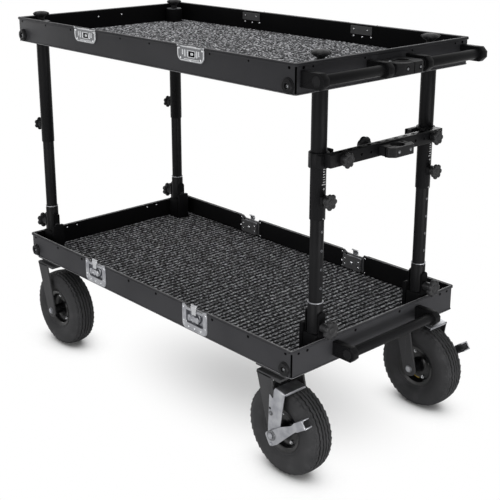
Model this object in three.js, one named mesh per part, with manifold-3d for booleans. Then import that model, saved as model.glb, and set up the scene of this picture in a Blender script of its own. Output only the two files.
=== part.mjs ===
// A two-tray camera cart on four swivel casters.
// Millimetres, +Z up. X runs along the trays with the push handles at +X, Y runs across them.
import * as THREE from 'three';
import { mergeVertices } from 'three/addons/utils/BufferGeometryUtils.js';
import Module from 'manifold-3d';

const wasm = await Module();
wasm.setup();

// Clearances
const seatGap = 0.3;
const runningGap = 0.4;
const cutOver = 2;
const weldLap = 1;

// Trays
const trayLength = 1220;
const trayWidth = 652;
const traySpacing = 712.5;
const wallHeight = 74;
const wallThickness = 4;
const rimLipReach = 4;
const rimLipHeight = 7;
const footLipReach = 2;
const footLipHeight = 3;
const flangeWidth = 10;
const flangeThickness = 3;
const deckThickness = 5;
const carpetThickness = 8;
const carpetEdgeGap = 1.5;

// Corner bumpers on the long sides
const bumperEndInset = 24;
const bumperDrop = 54;
const bumperRadius = 19;
const bumperReach = 8;

// Wheels
const tyreRadius = 124.5;
const tyreWidth = 82;
const tyreWall = 8;
const treadWidth = 56;
const treadCrown = 3;
const beadRadius = 53;
const beadWidth = 46;
const rimThickness = 5;
const rimFlangeHeight = 7;
const rimFlangeThickness = 4;
const hubRadius = 15;
const axleRadius = 6;

// Casters
const casterEndInset = 78;
const casterSideInset = 53.3;
const casterTrail = 24;
const crownClearance = 9;
const crownThickness = 8;
const crownLength = 88;
const forkInnerWidth = 104;
const forkLegThickness = 6;
const forkLegTopWidth = 54;
const forkFootRadius = 22;
const raceRadius = 30;
const raceHeight = 12;
const kingPinRadius = 10;
const casterPlateThickness = 8;
const casterPlateLength = 120;
const casterPlateWidth = 100;
const axleHeadRadius = 11;
const axleHeadHeight = 6;

// Wheel brakes on the two handle-end casters
const brakePlateThickness = 3;
const brakeTopStart = 28;
const brakeTopLength = 35;
const brakeTopSpan = 76;
const brakeTopSlope = 6;
const brakeShoulderStart = 9;
const brakeShoulderDrop = 29;
const brakeFootRadius = 20;
const leverStandOff = 4;
const leverAngle = 34;
const leverLength = 136;
const pedalLength = 32;
const pedalHeight = 24;
const pedalDepth = 25;

// Posts
const postEndInset = 35;
const farPostSideInset = 60;
const handlePostSideInset = 118;
const outerTubeRadius = 20;
const outerTubeWall = 2;
const innerTubeWall = 2.5;
const innerTubeTopRise = 465;
const outerTubeFootRise = 310;
const tubePlugHeight = 12;
const footSleeveRise = 90;
const postRingHeight = 4;
const postRingReach = 1.5;

// Foot brackets that hold the posts
const pivotRise = 28;
const pivotEdge = 20;
const earThickness = 4.7;
const earHalfWidth = 24;
const earTopRise = 54;
const footBlockReach = 60;
const footBlockRise = 36;
const clampBoltRadius = 5;

// Star knobs
const footKnobReach = 55;
const footKnobRadius = 25;
const footKnobThickness = 13;
const heightKnobRise = 52;
const heightKnobReach = 43;
const heightKnobRadius = 21;
const heightKnobThickness = 9;
const heightBossHalf = 12;
const heightBossReach = 7;
const topKnobRadius = 25.5;
const topKnobThickness = 11;
const topKnobConeHeight = 8;
const topKnobAboveRim = 16;
const topNeckRadius = 10;
const topBoltRadius = 6;
const topBoltLength = 26;
const washerRadius = 25.5;
const washerThickness = 2;
const knobHubRadius = 12.5;
const knobLobes = 7;
const knobScallop = 2.4;

// Sockets in the upper tray
const socketRadius = 27;
const socketDrop = 16;
const socketRoof = 12;

// Handles at the +X end
const handleReach = 51;
const handleDrop = 37;
const handleTubeRadius = 13.5;
const handleBracketReach = 73;
const handleBracketHeight = 39;
const handleBracketThickness = 20;
const handleChamfer = 12;
const upperGripOuter = 312;
const upperGripInner = 65;
const lowerGripOuter = 178;

// Pole clamp between the upper handles
const poleClampReach = 80;
const poleClampWidth = 98;
const poleClampHeight = 28;
const poleHoleRadius = 17.5;
const poleHoleReach = 40;
const poleClampChamfer = 16;
const poleSplitWidth = 2;

// Crossbar on the handle-end posts
const barRise = 449;
const barHeight = 33;
const barDepth = 22;
const barEndOverhang = 9;
const barStandOff = 27;
const barHolePitch = 35;
const barHoleCount = 9;
const barHoleInset = 67;
const collarWall = 5;
const collarHeight = 38;
const collarDrop = 6;
const collarSplit = 1;
const saddleHalfWidth = 22;
const jawReach = 58;
const jawThickness = 12;
const jawHeight = 24;
const barKnobInset = 34;
const barKnobReach = 66;
const barKnobRadius = 20;
const barKnobThickness = 10;

// Stand clamp on the crossbar
const standClampHeight = 25;
const standClampDrop = 4;
const standFootWidth = 88;
const standFootReach = 25;
const standJawWidth = 96;
const standJawReach = 50;
const standJawChamfer = 14;
const standHoleRadius = 19.3;
const standHoleReach = 23;
const standSplitWidth = 3;
const standKnobRadius = 25;
const standKnobThickness = 12;
const standKnobReach = 26;
const standBoltRadius = 3.6;
const standBoltDepth = 14;
const standKnobSlot = 3;

// Butterfly latches on the lower tray, keepers on the upper tray
const latchEndInset = 372;
const dishWidth = 106;
const dishHeight = 72;
const dishPlate = 2.2;
const dishCorner = 14;
const panWidth = 76;
const panDepth = 12;
const panWall = 2;
const panDrop = 11;
const panCarpetGap = 2.4;
const latchNotchWidth = 80;
const latchNotchDepth = 8;
const keeperWidth = 108;
const keeperHeight = 42;
const keeperCorner = 18;
const keeperWindowWidth = 36;
const keeperWindowHeight = 12;
const hookWidth = 18;
const hookThickness = 2.5;
const hookAboveRim = 8;
const hookBossGap = 2;
const wingLength = 46;
const wingHeight = 22;
const wingWaist = 12;
const wingThickness = 3;
const wingBossRadius = 9;

// Facets
const wheelFacets = 20;
const tubeFacets = 16;
const plainFacets = 12;
const boltFacets = 8;
const nutFacets = 6;
const cornerFacets = 4;
const knobFacetsPerLobe = 4;

// Heights and half sizes that follow from the sizes above
const halfLength = trayLength / 2;
const halfWidth = trayWidth / 2;
const crownBottom = 2 * tyreRadius + crownClearance;
const crownTop = crownBottom + crownThickness;
const plateBottom = crownTop + 2 * raceHeight + seatGap;
const trayBottom = plateBottom + casterPlateThickness;
const lowerRim = trayBottom + wallHeight;
const upperRim = lowerRim + traySpacing;
const deckBase = flangeThickness + seatGap;
const deckTop = deckBase + deckThickness;
const carpetTop = deckTop + seatGap + carpetThickness;
const panHeight = wallHeight - panDrop - carpetTop - panCarpetGap;
const latchDrop = panDrop + panHeight / 2;
const latchX = halfLength - latchEndInset;
const casterX = halfLength - casterEndInset;
const casterY = halfWidth - casterSideInset;
const postX = halfLength - postEndInset;
const farPostY = halfWidth - farPostSideInset;
const handlePostY = halfWidth - handlePostSideInset;
const pivotHeight = lowerRim + pivotRise;
const outerTubeBore = outerTubeRadius - outerTubeWall;
const innerTubeRadius = outerTubeBore - runningGap;
const innerTubeBore = innerTubeRadius - innerTubeWall;
const outerTubeFoot = lowerRim + outerTubeFootRise;
const socketTop = upperRim - socketDrop;
const outerTubeTop = socketTop - socketRoof - seatGap;
const earInner = outerTubeRadius + seatGap;
const earOuter = earInner + earThickness;
const forkInner = forkInnerWidth / 2;
const forkOuter = forkInner + forkLegThickness;
const bracketOuter = forkOuter + brakePlateThickness;
const leverInner = bracketOuter + leverStandOff;
const leverOuter = leverInner + brakePlateThickness;
const barHalfLength = handlePostY + barEndOverhang;
const barBottom = lowerRim + barRise;
const barTop = barBottom + barHeight;
const barMiddle = barBottom + barHeight / 2;
const collarBottom = barBottom - collarDrop;

// Materials
function coated(color, roughness, metalness) {
  return new THREE.MeshStandardMaterial({ color, roughness, metalness });
}
const trayBlack = coated(0x3a3a3b, 0.45, 0.6);
const deckBlack = coated(0x1b1b1c, 0.6, 0.4);
const carpetCharcoal = coated(0x323233, 1, 0);
const tubeBlack = coated(0x18181a, 0.35, 0.6);
const knobBlack = coated(0x232324, 0.55, 0);
const clampBlack = coated(0x222223, 0.5, 0.4);
const forkGrey = coated(0x4a4a4b, 0.45, 0.7);
const rimBlack = coated(0x1a1a1a, 0.4, 0.5);
const tyreRubber = coated(0x333334, 0.85, 0);
const zincPlate = coated(0xbdbec0, 0.35, 0.9);

// Solids
function toSolid(geometry) {
  geometry.deleteAttribute('normal');
  geometry.deleteAttribute('uv');
  const merged = mergeVertices(geometry);
  const place = merged.attributes.position;
  const corners = merged.index.array;
  const kept = [];
  const a = new THREE.Vector3();
  const b = new THREE.Vector3();
  const c = new THREE.Vector3();
  let volume = 0;
  for (let i = 0; i < corners.length; i += 3) {
    const [p, q, r] = [corners[i], corners[i + 1], corners[i + 2]];
    if (p === q || q === r || r === p) continue;
    a.fromBufferAttribute(place, p);
    b.fromBufferAttribute(place, q);
    c.fromBufferAttribute(place, r);
    volume += a.dot(b.cross(c));
    kept.push(p, q, r);
  }
  if (volume < 0) kept.reverse();
  const vertProperties = new Float32Array(place.array);
  const triVerts = new Uint32Array(kept);
  return new wasm.Manifold(new wasm.Mesh({ numProp: 3, vertProperties, triVerts }));
}

function toGeometry(solid) {
  const mesh = solid.getMesh();
  const geometry = new THREE.BufferGeometry();
  geometry.setAttribute('position', new THREE.BufferAttribute(mesh.vertProperties, 3));
  geometry.setIndex(new THREE.BufferAttribute(mesh.triVerts, 1));
  geometry.computeVertexNormals();
  return geometry;
}

function block(x0, x1, y0, y1, z0, z1) {
  const geometry = new THREE.BoxGeometry(Math.abs(x1 - x0), Math.abs(y1 - y0), Math.abs(z1 - z0));
  geometry.translate((x0 + x1) / 2, (y0 + y1) / 2, (z0 + z1) / 2);
  return toSolid(geometry);
}

// A round bar along an axis; its centre is given on the two other axes, in X, Y, Z order.
function rod(axis, radius, from, to, first, second, facets = boltFacets) {
  const geometry = new THREE.CylinderGeometry(radius, radius, Math.abs(to - from), facets);
  const middle = (from + to) / 2;
  if (axis === 'x') geometry.rotateZ(-Math.PI / 2).translate(middle, first, second);
  if (axis === 'y') geometry.translate(first, middle, second);
  if (axis === 'z') geometry.rotateX(Math.PI / 2).translate(first, second, middle);
  return toSolid(geometry);
}

// The cutter for a round hole: its flats, not its corners, lie on the radius.
function bore(axis, radius, from, to, first, second, facets = boltFacets) {
  return rod(axis, radius / Math.cos(Math.PI / facets), from, to, first, second, facets);
}

// A flat outline carried along an axis; its points are on the two other axes, in X, Y, Z order.
function prism(axis, points, from, to) {
  const shape = new THREE.Shape(points.map(([u, v]) => new THREE.Vector2(u, v)));
  const depth = Math.abs(to - from);
  const geometry = new THREE.ExtrudeGeometry(shape, { depth, bevelEnabled: false });
  const start = Math.min(from, to);
  if (axis === 'x') {
    const turn = new THREE.Matrix4().makeBasis(
      new THREE.Vector3(0, 1, 0), new THREE.Vector3(0, 0, 1), new THREE.Vector3(1, 0, 0));
    geometry.applyMatrix4(turn).translate(start, 0, 0);
  }
  if (axis === 'y') geometry.rotateX(Math.PI / 2).translate(0, start + depth, 0);
  if (axis === 'z') geometry.translate(0, 0, start);
  return toSolid(geometry);
}

// A closed profile of [radius, height] points turned round an axis, flats on the radius.
function turned(axis, profile, facets) {
  const grow = 1 / Math.cos(Math.PI / facets);
  const points = profile.map(([radius, height]) => new THREE.Vector2(radius * grow, height));
  points.push(points[0].clone());
  const geometry = new THREE.LatheGeometry(points, facets, Math.PI / facets);
  if (axis === 'z') geometry.rotateX(Math.PI / 2);
  return toSolid(geometry);
}

function arc(centreU, centreV, radius, fromDegrees, toDegrees, steps = cornerFacets) {
  const points = [];
  for (let i = 0; i <= steps; i += 1) {
    const angle = THREE.MathUtils.degToRad(fromDegrees + (toDegrees - fromDegrees) * i / steps);
    points.push([centreU + radius * Math.cos(angle), centreV + radius * Math.sin(angle)]);
  }
  return points;
}

function joined(solids) {
  return solids.reduce((whole, solid) => whole.add(solid));
}

function cutBy(solid, cutters) {
  return cutters.reduce((whole, cutter) => whole.subtract(cutter), solid);
}

// The scene
const cart = new THREE.Group();

function addPiece(name, solid, material, x = 0, y = 0, z = 0) {
  const mesh = new THREE.Mesh(toGeometry(solid), material);
  mesh.name = name;
  mesh.position.set(x, y, z);
  cart.add(mesh);
  return mesh;
}

// Places of the corners, named as seen from behind the handles at +X
const corners = [
  { name: 'handle_left', x: 1, y: -1, postY: handlePostY, braked: true },
  { name: 'handle_right', x: 1, y: 1, postY: handlePostY, braked: true },
  { name: 'far_left', x: -1, y: -1, postY: farPostY, braked: false },
  { name: 'far_right', x: -1, y: 1, postY: farPostY, braked: false },
];

// A rectangular band round the tray, from its outer half sizes inwards
function band(halfX, halfY, width, z0, z1) {
  const outer = block(-halfX, halfX, -halfY, halfY, z0, z1);
  const inner = block(width - halfX, halfX - width, width - halfY, halfY - width,
    z0 - cutOver, z1 + cutOver);
  return outer.subtract(inner);
}

// Tray walls with their rolled rim, foot lip and inward flange; z = 0 is the lower edge
function trayShell() {
  return joined([
    band(halfLength, halfWidth, wallThickness, 0, wallHeight),
    band(halfLength + rimLipReach, halfWidth + rimLipReach, rimLipReach + weldLap,
      wallHeight - rimLipHeight, wallHeight),
    band(halfLength + footLipReach, halfWidth + footLipReach, footLipReach + weldLap,
      0, footLipHeight),
    band(halfLength - wallThickness + weldLap, halfWidth - wallThickness + weldLap,
      flangeWidth + weldLap, 0, flangeThickness),
  ]);
}

function bumpers() {
  const height = wallHeight - bumperDrop;
  const x = halfLength - bumperEndInset;
  return corners.map((corner) => rod('y', bumperRadius, corner.y * (halfWidth - weldLap),
    corner.y * (halfWidth + bumperReach), corner.x * x, height, plainFacets));
}

// A plate on the outside of a long wall, square at the rim and round at its lower corners
function wallPlate(x, side, width, height, corner) {
  const foot = wallHeight - height;
  const outline = [
    [x - width / 2, wallHeight],
    ...arc(x - width / 2 + corner, foot + corner, corner, 180, 270),
    ...arc(x + width / 2 - corner, foot + corner, corner, 270, 360),
    [x + width / 2, wallHeight],
  ];
  return prism('y', outline, side * (halfWidth - weldLap), side * (halfWidth + dishPlate));
}

function lipCut(x, side, width) {
  return block(x - width / 2, x + width / 2, side * halfWidth,
    side * (halfWidth + rimLipReach + cutOver), wallHeight - rimLipHeight - weldLap,
    wallHeight + cutOver);
}

// The four latch places: two on each long side
const latchPlaces = [
  { name: 'left_handle', x: latchX, side: -1 },
  { name: 'left_far', x: -latchX, side: -1 },
  { name: 'right_handle', x: latchX, side: 1 },
  { name: 'right_far', x: -latchX, side: 1 },
];

function latchPan(place, inset) {
  const half = panWidth / 2 - inset;
  const top = wallHeight - panDrop - inset;
  const foot = wallHeight - panDrop - panHeight + inset;
  const outside = inset > 0 ? dishPlate + cutOver : 0;
  return block(place.x - half, place.x + half, place.side * (halfWidth - panDepth + inset),
    place.side * (halfWidth + outside), foot, top);
}

function latchNotch(place) {
  return block(place.x - latchNotchWidth / 2, place.x + latchNotchWidth / 2,
    place.side * (halfWidth - wallThickness - cutOver), place.side * (halfWidth + dishPlate + cutOver),
    wallHeight - latchNotchDepth, wallHeight + cutOver);
}

function lowerFrame() {
  let frame = trayShell();
  for (const place of latchPlaces) {
    frame = frame.subtract(lipCut(place.x, place.side, dishWidth));
    frame = frame.add(wallPlate(place.x, place.side, dishWidth, dishHeight, dishCorner));
    frame = frame.add(latchPan(place, 0)).subtract(latchPan(place, panWall));
    frame = frame.subtract(latchNotch(place));
  }
  frame = joined([frame, ...bumpers()]);
  for (const corner of corners) {
    const x = corner.x * casterX;
    const y = corner.y * casterY;
    const plate = block(x - casterPlateLength / 2, x + casterPlateLength / 2,
      y - casterPlateWidth / 2, y + casterPlateWidth / 2, -casterPlateThickness, flangeThickness);
    const raceFoot = -casterPlateThickness - raceHeight;
    const race = rod('z', raceRadius, raceFoot, weldLap - casterPlateThickness, x, y, plainFacets);
    const pinHole = bore('z', kingPinRadius + runningGap, raceFoot - cutOver,
      flangeThickness + cutOver, x, y);
    frame = joined([frame, plate, race]).subtract(pinHole);
  }
  return frame;
}

function upperFrame() {
  let frame = joined([trayShell(), ...bumpers()]);
  for (const place of latchPlaces) {
    const window = block(place.x - keeperWindowWidth / 2, place.x + keeperWindowWidth / 2,
      place.side * halfWidth, place.side * (halfWidth + dishPlate + cutOver),
      wallHeight - keeperHeight / 2 - keeperWindowHeight / 2,
      wallHeight - keeperHeight / 2 + keeperWindowHeight / 2);
    frame = frame.subtract(lipCut(place.x, place.side, keeperWidth));
    frame = frame.add(wallPlate(place.x, place.side, keeperWidth, keeperHeight, keeperCorner));
    frame = frame.subtract(window);
  }
  return cutBy(frame, corners.map((corner) => bore('z', outerTubeRadius + seatGap, -cutOver,
    wallHeight, corner.x * postX, corner.y * corner.postY, tubeFacets)));
}

function deckPlate() {
  const halfX = halfLength - wallThickness - seatGap;
  const halfY = halfWidth - wallThickness - seatGap;
  return block(-halfX, halfX, -halfY, halfY, deckBase, deckTop);
}

// A foot bracket: two ears beside the post, a block inboard of them and a floor under the post
function footBracket(corner) {
  const x = corner.x * postX;
  const y = corner.y * corner.postY;
  const base = deckTop - weldLap;
  const rim = wallHeight;
  const ear = [
    [y - earHalfWidth, base],
    [y + earHalfWidth, base],
    ...arc(y, rim + earTopRise, earHalfWidth, 0, 180, 2 * cornerFacets),
  ];
  const solids = [
    prism('x', ear, x + earInner, x + earOuter),
    prism('x', ear, x - earOuter, x - earInner),
    block(x - corner.x * (earOuter - weldLap), x - corner.x * footBlockReach,
      y - earHalfWidth, y + earHalfWidth, base, rim + footBlockRise),
    block(x - earInner - weldLap, x + earInner + weldLap, y - earHalfWidth, y + earHalfWidth,
      base, rim + pivotRise - pivotEdge - seatGap),
  ];
  const hole = bore('x', clampBoltRadius + runningGap, x - corner.x * (earOuter + cutOver),
    x + corner.x * (earOuter + cutOver), y, rim + pivotRise);
  return joined(solids).subtract(hole);
}

function lowerDeck() {
  return joined([deckPlate(), ...corners.map(footBracket)]);
}

function upperDeck() {
  let deck = deckPlate();
  const top = wallHeight - socketDrop;
  for (const corner of corners) {
    const x = corner.x * postX;
    const y = corner.y * corner.postY;
    deck = deck.add(rod('z', socketRadius, deckTop - weldLap, top, x, y, tubeFacets));
    deck = deck.subtract(bore('z', outerTubeRadius + seatGap, deckBase - cutOver,
      top - socketRoof, x, y, tubeFacets));
    deck = deck.subtract(bore('z', topBoltRadius + runningGap, deckBase, top + cutOver, x, y));
  }
  return deck;
}

function carpet(cutters) {
  const halfX = halfLength - wallThickness - carpetEdgeGap;
  const halfY = halfWidth - wallThickness - carpetEdgeGap;
  const sheet = block(-halfX, halfX, -halfY, halfY, deckTop + seatGap, carpetTop);
  return cutBy(sheet, cutters);
}

function lowerCarpetCuts() {
  return corners.map((corner) => {
    const y = corner.y * corner.postY;
    const half = earHalfWidth + carpetEdgeGap;
    return block(corner.x * (postX - footBlockReach - carpetEdgeGap),
      corner.x * (halfLength + cutOver), y - half, y + half, deckTop - cutOver,
      carpetTop + cutOver);
  });
}

function upperCarpetCuts() {
  return corners.map((corner) => bore('z', socketRadius + carpetEdgeGap, deckTop - cutOver,
    carpetTop + cutOver, corner.x * postX, corner.y * corner.postY, tubeFacets));
}

addPiece('lower_frame', lowerFrame(), trayBlack, 0, 0, trayBottom);
addPiece('lower_deck', lowerDeck(), deckBlack, 0, 0, trayBottom);
addPiece('lower_carpet', carpet(lowerCarpetCuts()), carpetCharcoal, 0, 0, trayBottom);
addPiece('upper_frame', upperFrame(), trayBlack, 0, 0, upperRim - wallHeight);
addPiece('upper_deck', upperDeck(), deckBlack, 0, 0, upperRim - wallHeight);
addPiece('upper_carpet', carpet(upperCarpetCuts()), carpetCharcoal, 0, 0, upperRim - wallHeight);

// Latch wing; its spindle is along Y and its local origin is on the wall's outer face
function latchWing(side) {
  const half = wingLength / 2;
  const waist = wingWaist / 2;
  const tip = wingHeight / 2;
  const near = dishPlate + hookThickness + 2 * seatGap;
  const outline = [
    [-half, -tip], [-wingBossRadius, -waist], [wingBossRadius, -waist], [half, -tip],
    [half, tip], [wingBossRadius, waist], [-wingBossRadius, waist], [-half, tip],
  ];
  const plate = prism('y', outline, side * near, side * (near + wingThickness));
  const boss = rod('y', wingBossRadius, side * (panWall + seatGap - panDepth),
    side * (near + wingThickness / 2), 0, 0);
  return plate.add(boss);
}

// Latch hook; it rides up and down in front of the dish
function latchHook(side) {
  const foot = latchDrop - wingBossRadius - hookBossGap;
  const near = dishPlate + seatGap;
  return block(-hookWidth / 2, hookWidth / 2, side * near, side * (near + hookThickness),
    -foot, hookAboveRim);
}

for (const place of latchPlaces) {
  addPiece(`latch_wing_${place.name}`, latchWing(place.side), zincPlate,
    place.x, place.side * halfWidth, lowerRim - latchDrop);
  addPiece(`latch_hook_${place.name}`, latchHook(place.side), zincPlate,
    place.x, place.side * halfWidth, lowerRim);
}

// Posts; local origin on the post's axis at the floor
function innerPost() {
  const foot = pivotHeight - pivotEdge;
  const ring = lowerRim + footSleeveRise;
  const top = lowerRim + innerTubeTopRise;
  const slim = innerTubeRadius * Math.cos(Math.PI / tubeFacets);
  const sleeve = outerTubeRadius * Math.cos(Math.PI / tubeFacets);
  const profile = [
    [innerTubeBore, foot], [sleeve, foot], [sleeve, ring],
    [sleeve + postRingReach, ring], [sleeve + postRingReach, ring + postRingHeight],
    [slim, ring + postRingHeight], [slim, top], [innerTubeBore, top],
  ];
  const tube = turned('z', profile, tubeFacets);
  return tube.subtract(bore('x', clampBoltRadius + runningGap, -earOuter, earOuter, 0, pivotHeight));
}

function outerPost(endSign) {
  const tube = rod('z', outerTubeRadius, outerTubeFoot, outerTubeTop, 0, 0, tubeFacets);
  const knobHeight = outerTubeFoot + heightKnobRise;
  const boss = block(0, endSign * (outerTubeRadius + heightBossReach), -heightBossHalf,
    heightBossHalf, knobHeight - heightBossHalf, knobHeight + heightBossHalf);
  return cutBy(tube.add(boss), [
    bore('z', outerTubeBore, outerTubeFoot - cutOver, outerTubeTop - tubePlugHeight, 0, 0, tubeFacets),
    bore('z', topBoltRadius + runningGap, outerTubeFoot, outerTubeTop + cutOver, 0, 0),
    bore('x', clampBoltRadius + runningGap, 0, endSign * (outerTubeRadius + heightBossReach + cutOver),
      0, knobHeight),
  ]);
}

// A star knob's outline: the radius dips by the scallop between the lobes
function starOutline(radius) {
  const count = knobLobes * knobFacetsPerLobe;
  return Array.from({ length: count }, (unused, i) => {
    const angle = 2 * Math.PI * i / count;
    const dip = knobScallop * (1 - Math.cos(knobLobes * angle)) / 2;
    return [(radius - dip) * Math.cos(angle), (radius - dip) * Math.sin(angle)];
  });
}

// A knob on an axis along X: star, hub and bolt, each from and to a distance along the axis
function sideKnob(sign, radius, starFrom, starTo, hubFrom, boltFrom, boltRadius) {
  return joined([
    prism('x', starOutline(radius), sign * starFrom, sign * starTo),
    rod('x', knobHubRadius, sign * hubFrom, sign * (starFrom + weldLap), 0, 0),
    rod('x', boltRadius, sign * boltFrom, sign * (starFrom + weldLap), 0, 0),
  ]);
}

// The knob on top of a post; local origin on the socket's top face
function topKnob() {
  const starBottom = socketDrop + topKnobAboveRim - topKnobThickness;
  const cone = [
    [0, starBottom - topKnobConeHeight], [topNeckRadius, starBottom - topKnobConeHeight],
    [topKnobRadius - knobScallop - weldLap, starBottom + weldLap], [0, starBottom + weldLap],
  ];
  return joined([
    prism('z', starOutline(topKnobRadius), starBottom, starBottom + topKnobThickness),
    turned('z', cone, plainFacets),
    rod('z', topNeckRadius, seatGap, starBottom + weldLap, 0, 0),
    rod('z', washerRadius, seatGap, seatGap + washerThickness, 0, 0, plainFacets),
    rod('z', topBoltRadius, -topBoltLength, weldLap, 0, 0),
  ]);
}

for (const corner of corners) {
  const x = corner.x * postX;
  const y = corner.y * corner.postY;
  addPiece(`inner_post_${corner.name}`, innerPost(), tubeBlack, x, y, 0);
  addPiece(`outer_post_${corner.name}`, outerPost(corner.x), tubeBlack, x, y, 0);
  addPiece(`foot_knob_${corner.name}`, sideKnob(corner.x, footKnobRadius,
    footKnobReach - footKnobThickness / 2, footKnobReach + footKnobThickness / 2,
    earOuter + seatGap, -earInner, clampBoltRadius), knobBlack, x, y, pivotHeight);
  addPiece(`height_knob_${corner.name}`, sideKnob(corner.x, heightKnobRadius,
    heightKnobReach - heightKnobThickness / 2, heightKnobReach + heightKnobThickness / 2,
    outerTubeRadius + heightBossReach + seatGap, innerTubeRadius + seatGap, clampBoltRadius),
  knobBlack, x, y, outerTubeFoot + heightKnobRise);
  addPiece(`top_knob_${corner.name}`, topKnob(), knobBlack, x, y, socketTop);
}

// Tyre: a thick C section, open towards the rim
function tyre() {
  const inner = beadRadius + seatGap;
  const bead = beadWidth / 2;
  const side = tyreWidth / 2;
  const tread = treadWidth / 2;
  const shoulder = tyreRadius - treadCrown;
  const belly = (inner + shoulder) / 2;
  const half = [
    [tyreRadius, tread / 2], [shoulder, tread],
    [shoulder - tyreWall, side - tyreWall / 2], [belly, side], [inner, bead],
    [inner, bead - tyreWall], [belly, side - tyreWall], [shoulder - tyreWall, tread - tyreWall / 2],
  ];
  const mirrored = half.slice().reverse().map(([radius, width]) => [radius, -width]);
  return turned('y', [...half, ...mirrored], wheelFacets);
}

// Wheel rim: hub, web, barrel and two flanges that hold the beads
function wheelRim() {
  const hubHalf = forkInner - seatGap;
  const barrelHalf = beadWidth / 2 + seatGap + rimFlangeThickness;
  const half = [
    [beadRadius, barrelHalf - rimFlangeThickness],
    [beadRadius + rimFlangeHeight, barrelHalf + rimFlangeThickness / 2],
    [beadRadius - rimThickness, barrelHalf + rimFlangeThickness / 2],
    [beadRadius - rimThickness, rimThickness], [hubRadius, rimThickness],
    [hubRadius, hubHalf], [axleRadius + runningGap, hubHalf],
  ];
  const mirrored = half.slice().reverse().map(([radius, width]) => [radius, -width]);
  return turned('y', [...half, ...mirrored], wheelFacets);
}

// The pressed bracket over a braked wheel, on the outer side of the fork
function brakeBracket(side) {
  const legTop = crownBottom - seatGap;
  const topEnd = brakeTopStart + brakeTopLength;
  const leg = [
    ...arc(casterTrail, tyreRadius, brakeFootRadius, 180, 360, 2 * cornerFacets),
    [topEnd, legTop - brakeTopSlope], [brakeTopStart, legTop],
    [brakeShoulderStart, legTop - brakeShoulderDrop],
  ];
  const roof = [
    [brakeTopStart, legTop - brakePlateThickness],
    [topEnd, legTop - brakeTopSlope - brakePlateThickness],
    [topEnd, legTop - brakeTopSlope], [brakeTopStart, legTop],
  ];
  return joined([
    prism('y', leg, side * (forkOuter - weldLap), side * bracketOuter),
    prism('y', roof, side * (bracketOuter - brakeTopSpan), side * bracketOuter),
    rod('y', axleHeadRadius, side * (bracketOuter - weldLap), side * (leverInner - seatGap),
      casterTrail, tyreRadius, plainFacets),
  ]);
}

// Caster fork with its crown, lower race, king pin and axle; local origin under the stem
function casterFork(corner) {
  const half = crownLength / 2;
  const leg = [
    ...arc(casterTrail, tyreRadius, forkFootRadius, 180, 360, 2 * cornerFacets),
    [forkLegTopWidth - half, crownTop], [-half, crownTop],
  ];
  const solids = [
    block(-half, half, -forkOuter, forkOuter, crownBottom, crownTop),
    prism('y', leg, forkInner, forkOuter),
    prism('y', leg, -forkOuter, -forkInner),
    rod('z', raceRadius, crownTop - weldLap, crownTop + raceHeight, 0, 0, plainFacets),
    rod('z', kingPinRadius, crownTop, trayBottom, 0, 0),
  ];
  for (const side of [-1, 1]) {
    const near = corner.braked && side === corner.y ? leverOuter + seatGap : forkOuter - weldLap;
    solids.push(rod('y', axleHeadRadius, side * near,
      side * (Math.max(near, forkOuter) + axleHeadHeight), casterTrail, tyreRadius, nutFacets));
  }
  const reach = leverOuter + seatGap + weldLap;
  solids.push(rod('y', axleRadius, -(corner.y > 0 ? forkOuter : reach),
    corner.y > 0 ? reach : forkOuter, casterTrail, tyreRadius));
  if (corner.braked) solids.push(brakeBracket(corner.y));
  return joined(solids);
}

// The lever's outline, as shares of its length and of half the pedal's height
const leverShares = [
  [-0.16, 1.05], [0.35, 1.05], [0.66, 0.62], [0.76, 1], [1, 1],
  [1, -1], [0.76, -1], [0.7, -0.84], [0.35, -1.56], [0.01, -2.25], [-0.17, -1.95],
];

// Brake lever on the axle, with its pedal bent in beside the tyre; local origin on the axle
function brakeLever(side) {
  const tip = pedalHeight / 2;
  const outline = leverShares.map(([along, across]) => [along * leverLength, across * tip]);
  const plate = prism('y', outline, side * leverInner, side * leverOuter)
    .subtract(bore('y', axleRadius + runningGap, side * (leverInner - cutOver),
      side * (leverOuter + cutOver), 0, 0));
  const flanges = [-1, 1].map((edge) => block(leverLength - pedalLength, leverLength,
    side * (leverOuter - pedalDepth), side * leverOuter, edge * tip,
    edge * (tip - brakePlateThickness)));
  return joined([plate, ...flanges]).rotate([0, -leverAngle, 0]);
}

for (const corner of corners) {
  const x = corner.x * casterX;
  const y = corner.y * casterY;
  addPiece(`caster_fork_${corner.name}`, casterFork(corner), forkGrey, x, y, 0);
  addPiece(`wheel_rim_${corner.name}`, wheelRim(), rimBlack, x + casterTrail, y, tyreRadius);
  addPiece(`tyre_${corner.name}`, tyre(), tyreRubber, x + casterTrail, y, tyreRadius);
  if (corner.braked) {
    addPiece(`brake_lever_${corner.name}`, brakeLever(corner.y), zincPlate,
      x + casterTrail, y, tyreRadius);
  }
}

// Push handles; local origin on the end wall's outer face, at the tube's height
function handle(innerY, outerY) {
  const near = seatGap;
  const far = handleBracketReach;
  const half = handleBracketHeight / 2;
  const outline = [
    [near, -half], [far - handleChamfer, -half], [far, handleChamfer - half],
    [far, half - handleChamfer], [far - handleChamfer, half], [near, half],
  ];
  return joined([
    prism('y', outline, innerY, innerY + handleBracketThickness),
    prism('y', outline, outerY - handleBracketThickness, outerY),
    rod('y', handleTubeRadius, innerY + weldLap, outerY - weldLap, handleReach, 0, tubeFacets),
  ]);
}

addPiece('upper_handle_left', handle(-upperGripOuter, -upperGripInner), tubeBlack,
  halfLength, 0, upperRim - handleDrop);
addPiece('upper_handle_right', handle(upperGripInner, upperGripOuter), tubeBlack,
  halfLength, 0, upperRim - handleDrop);
addPiece('lower_handle', handle(-lowerGripOuter, lowerGripOuter), tubeBlack,
  halfLength, 0, lowerRim - handleDrop);

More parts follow.
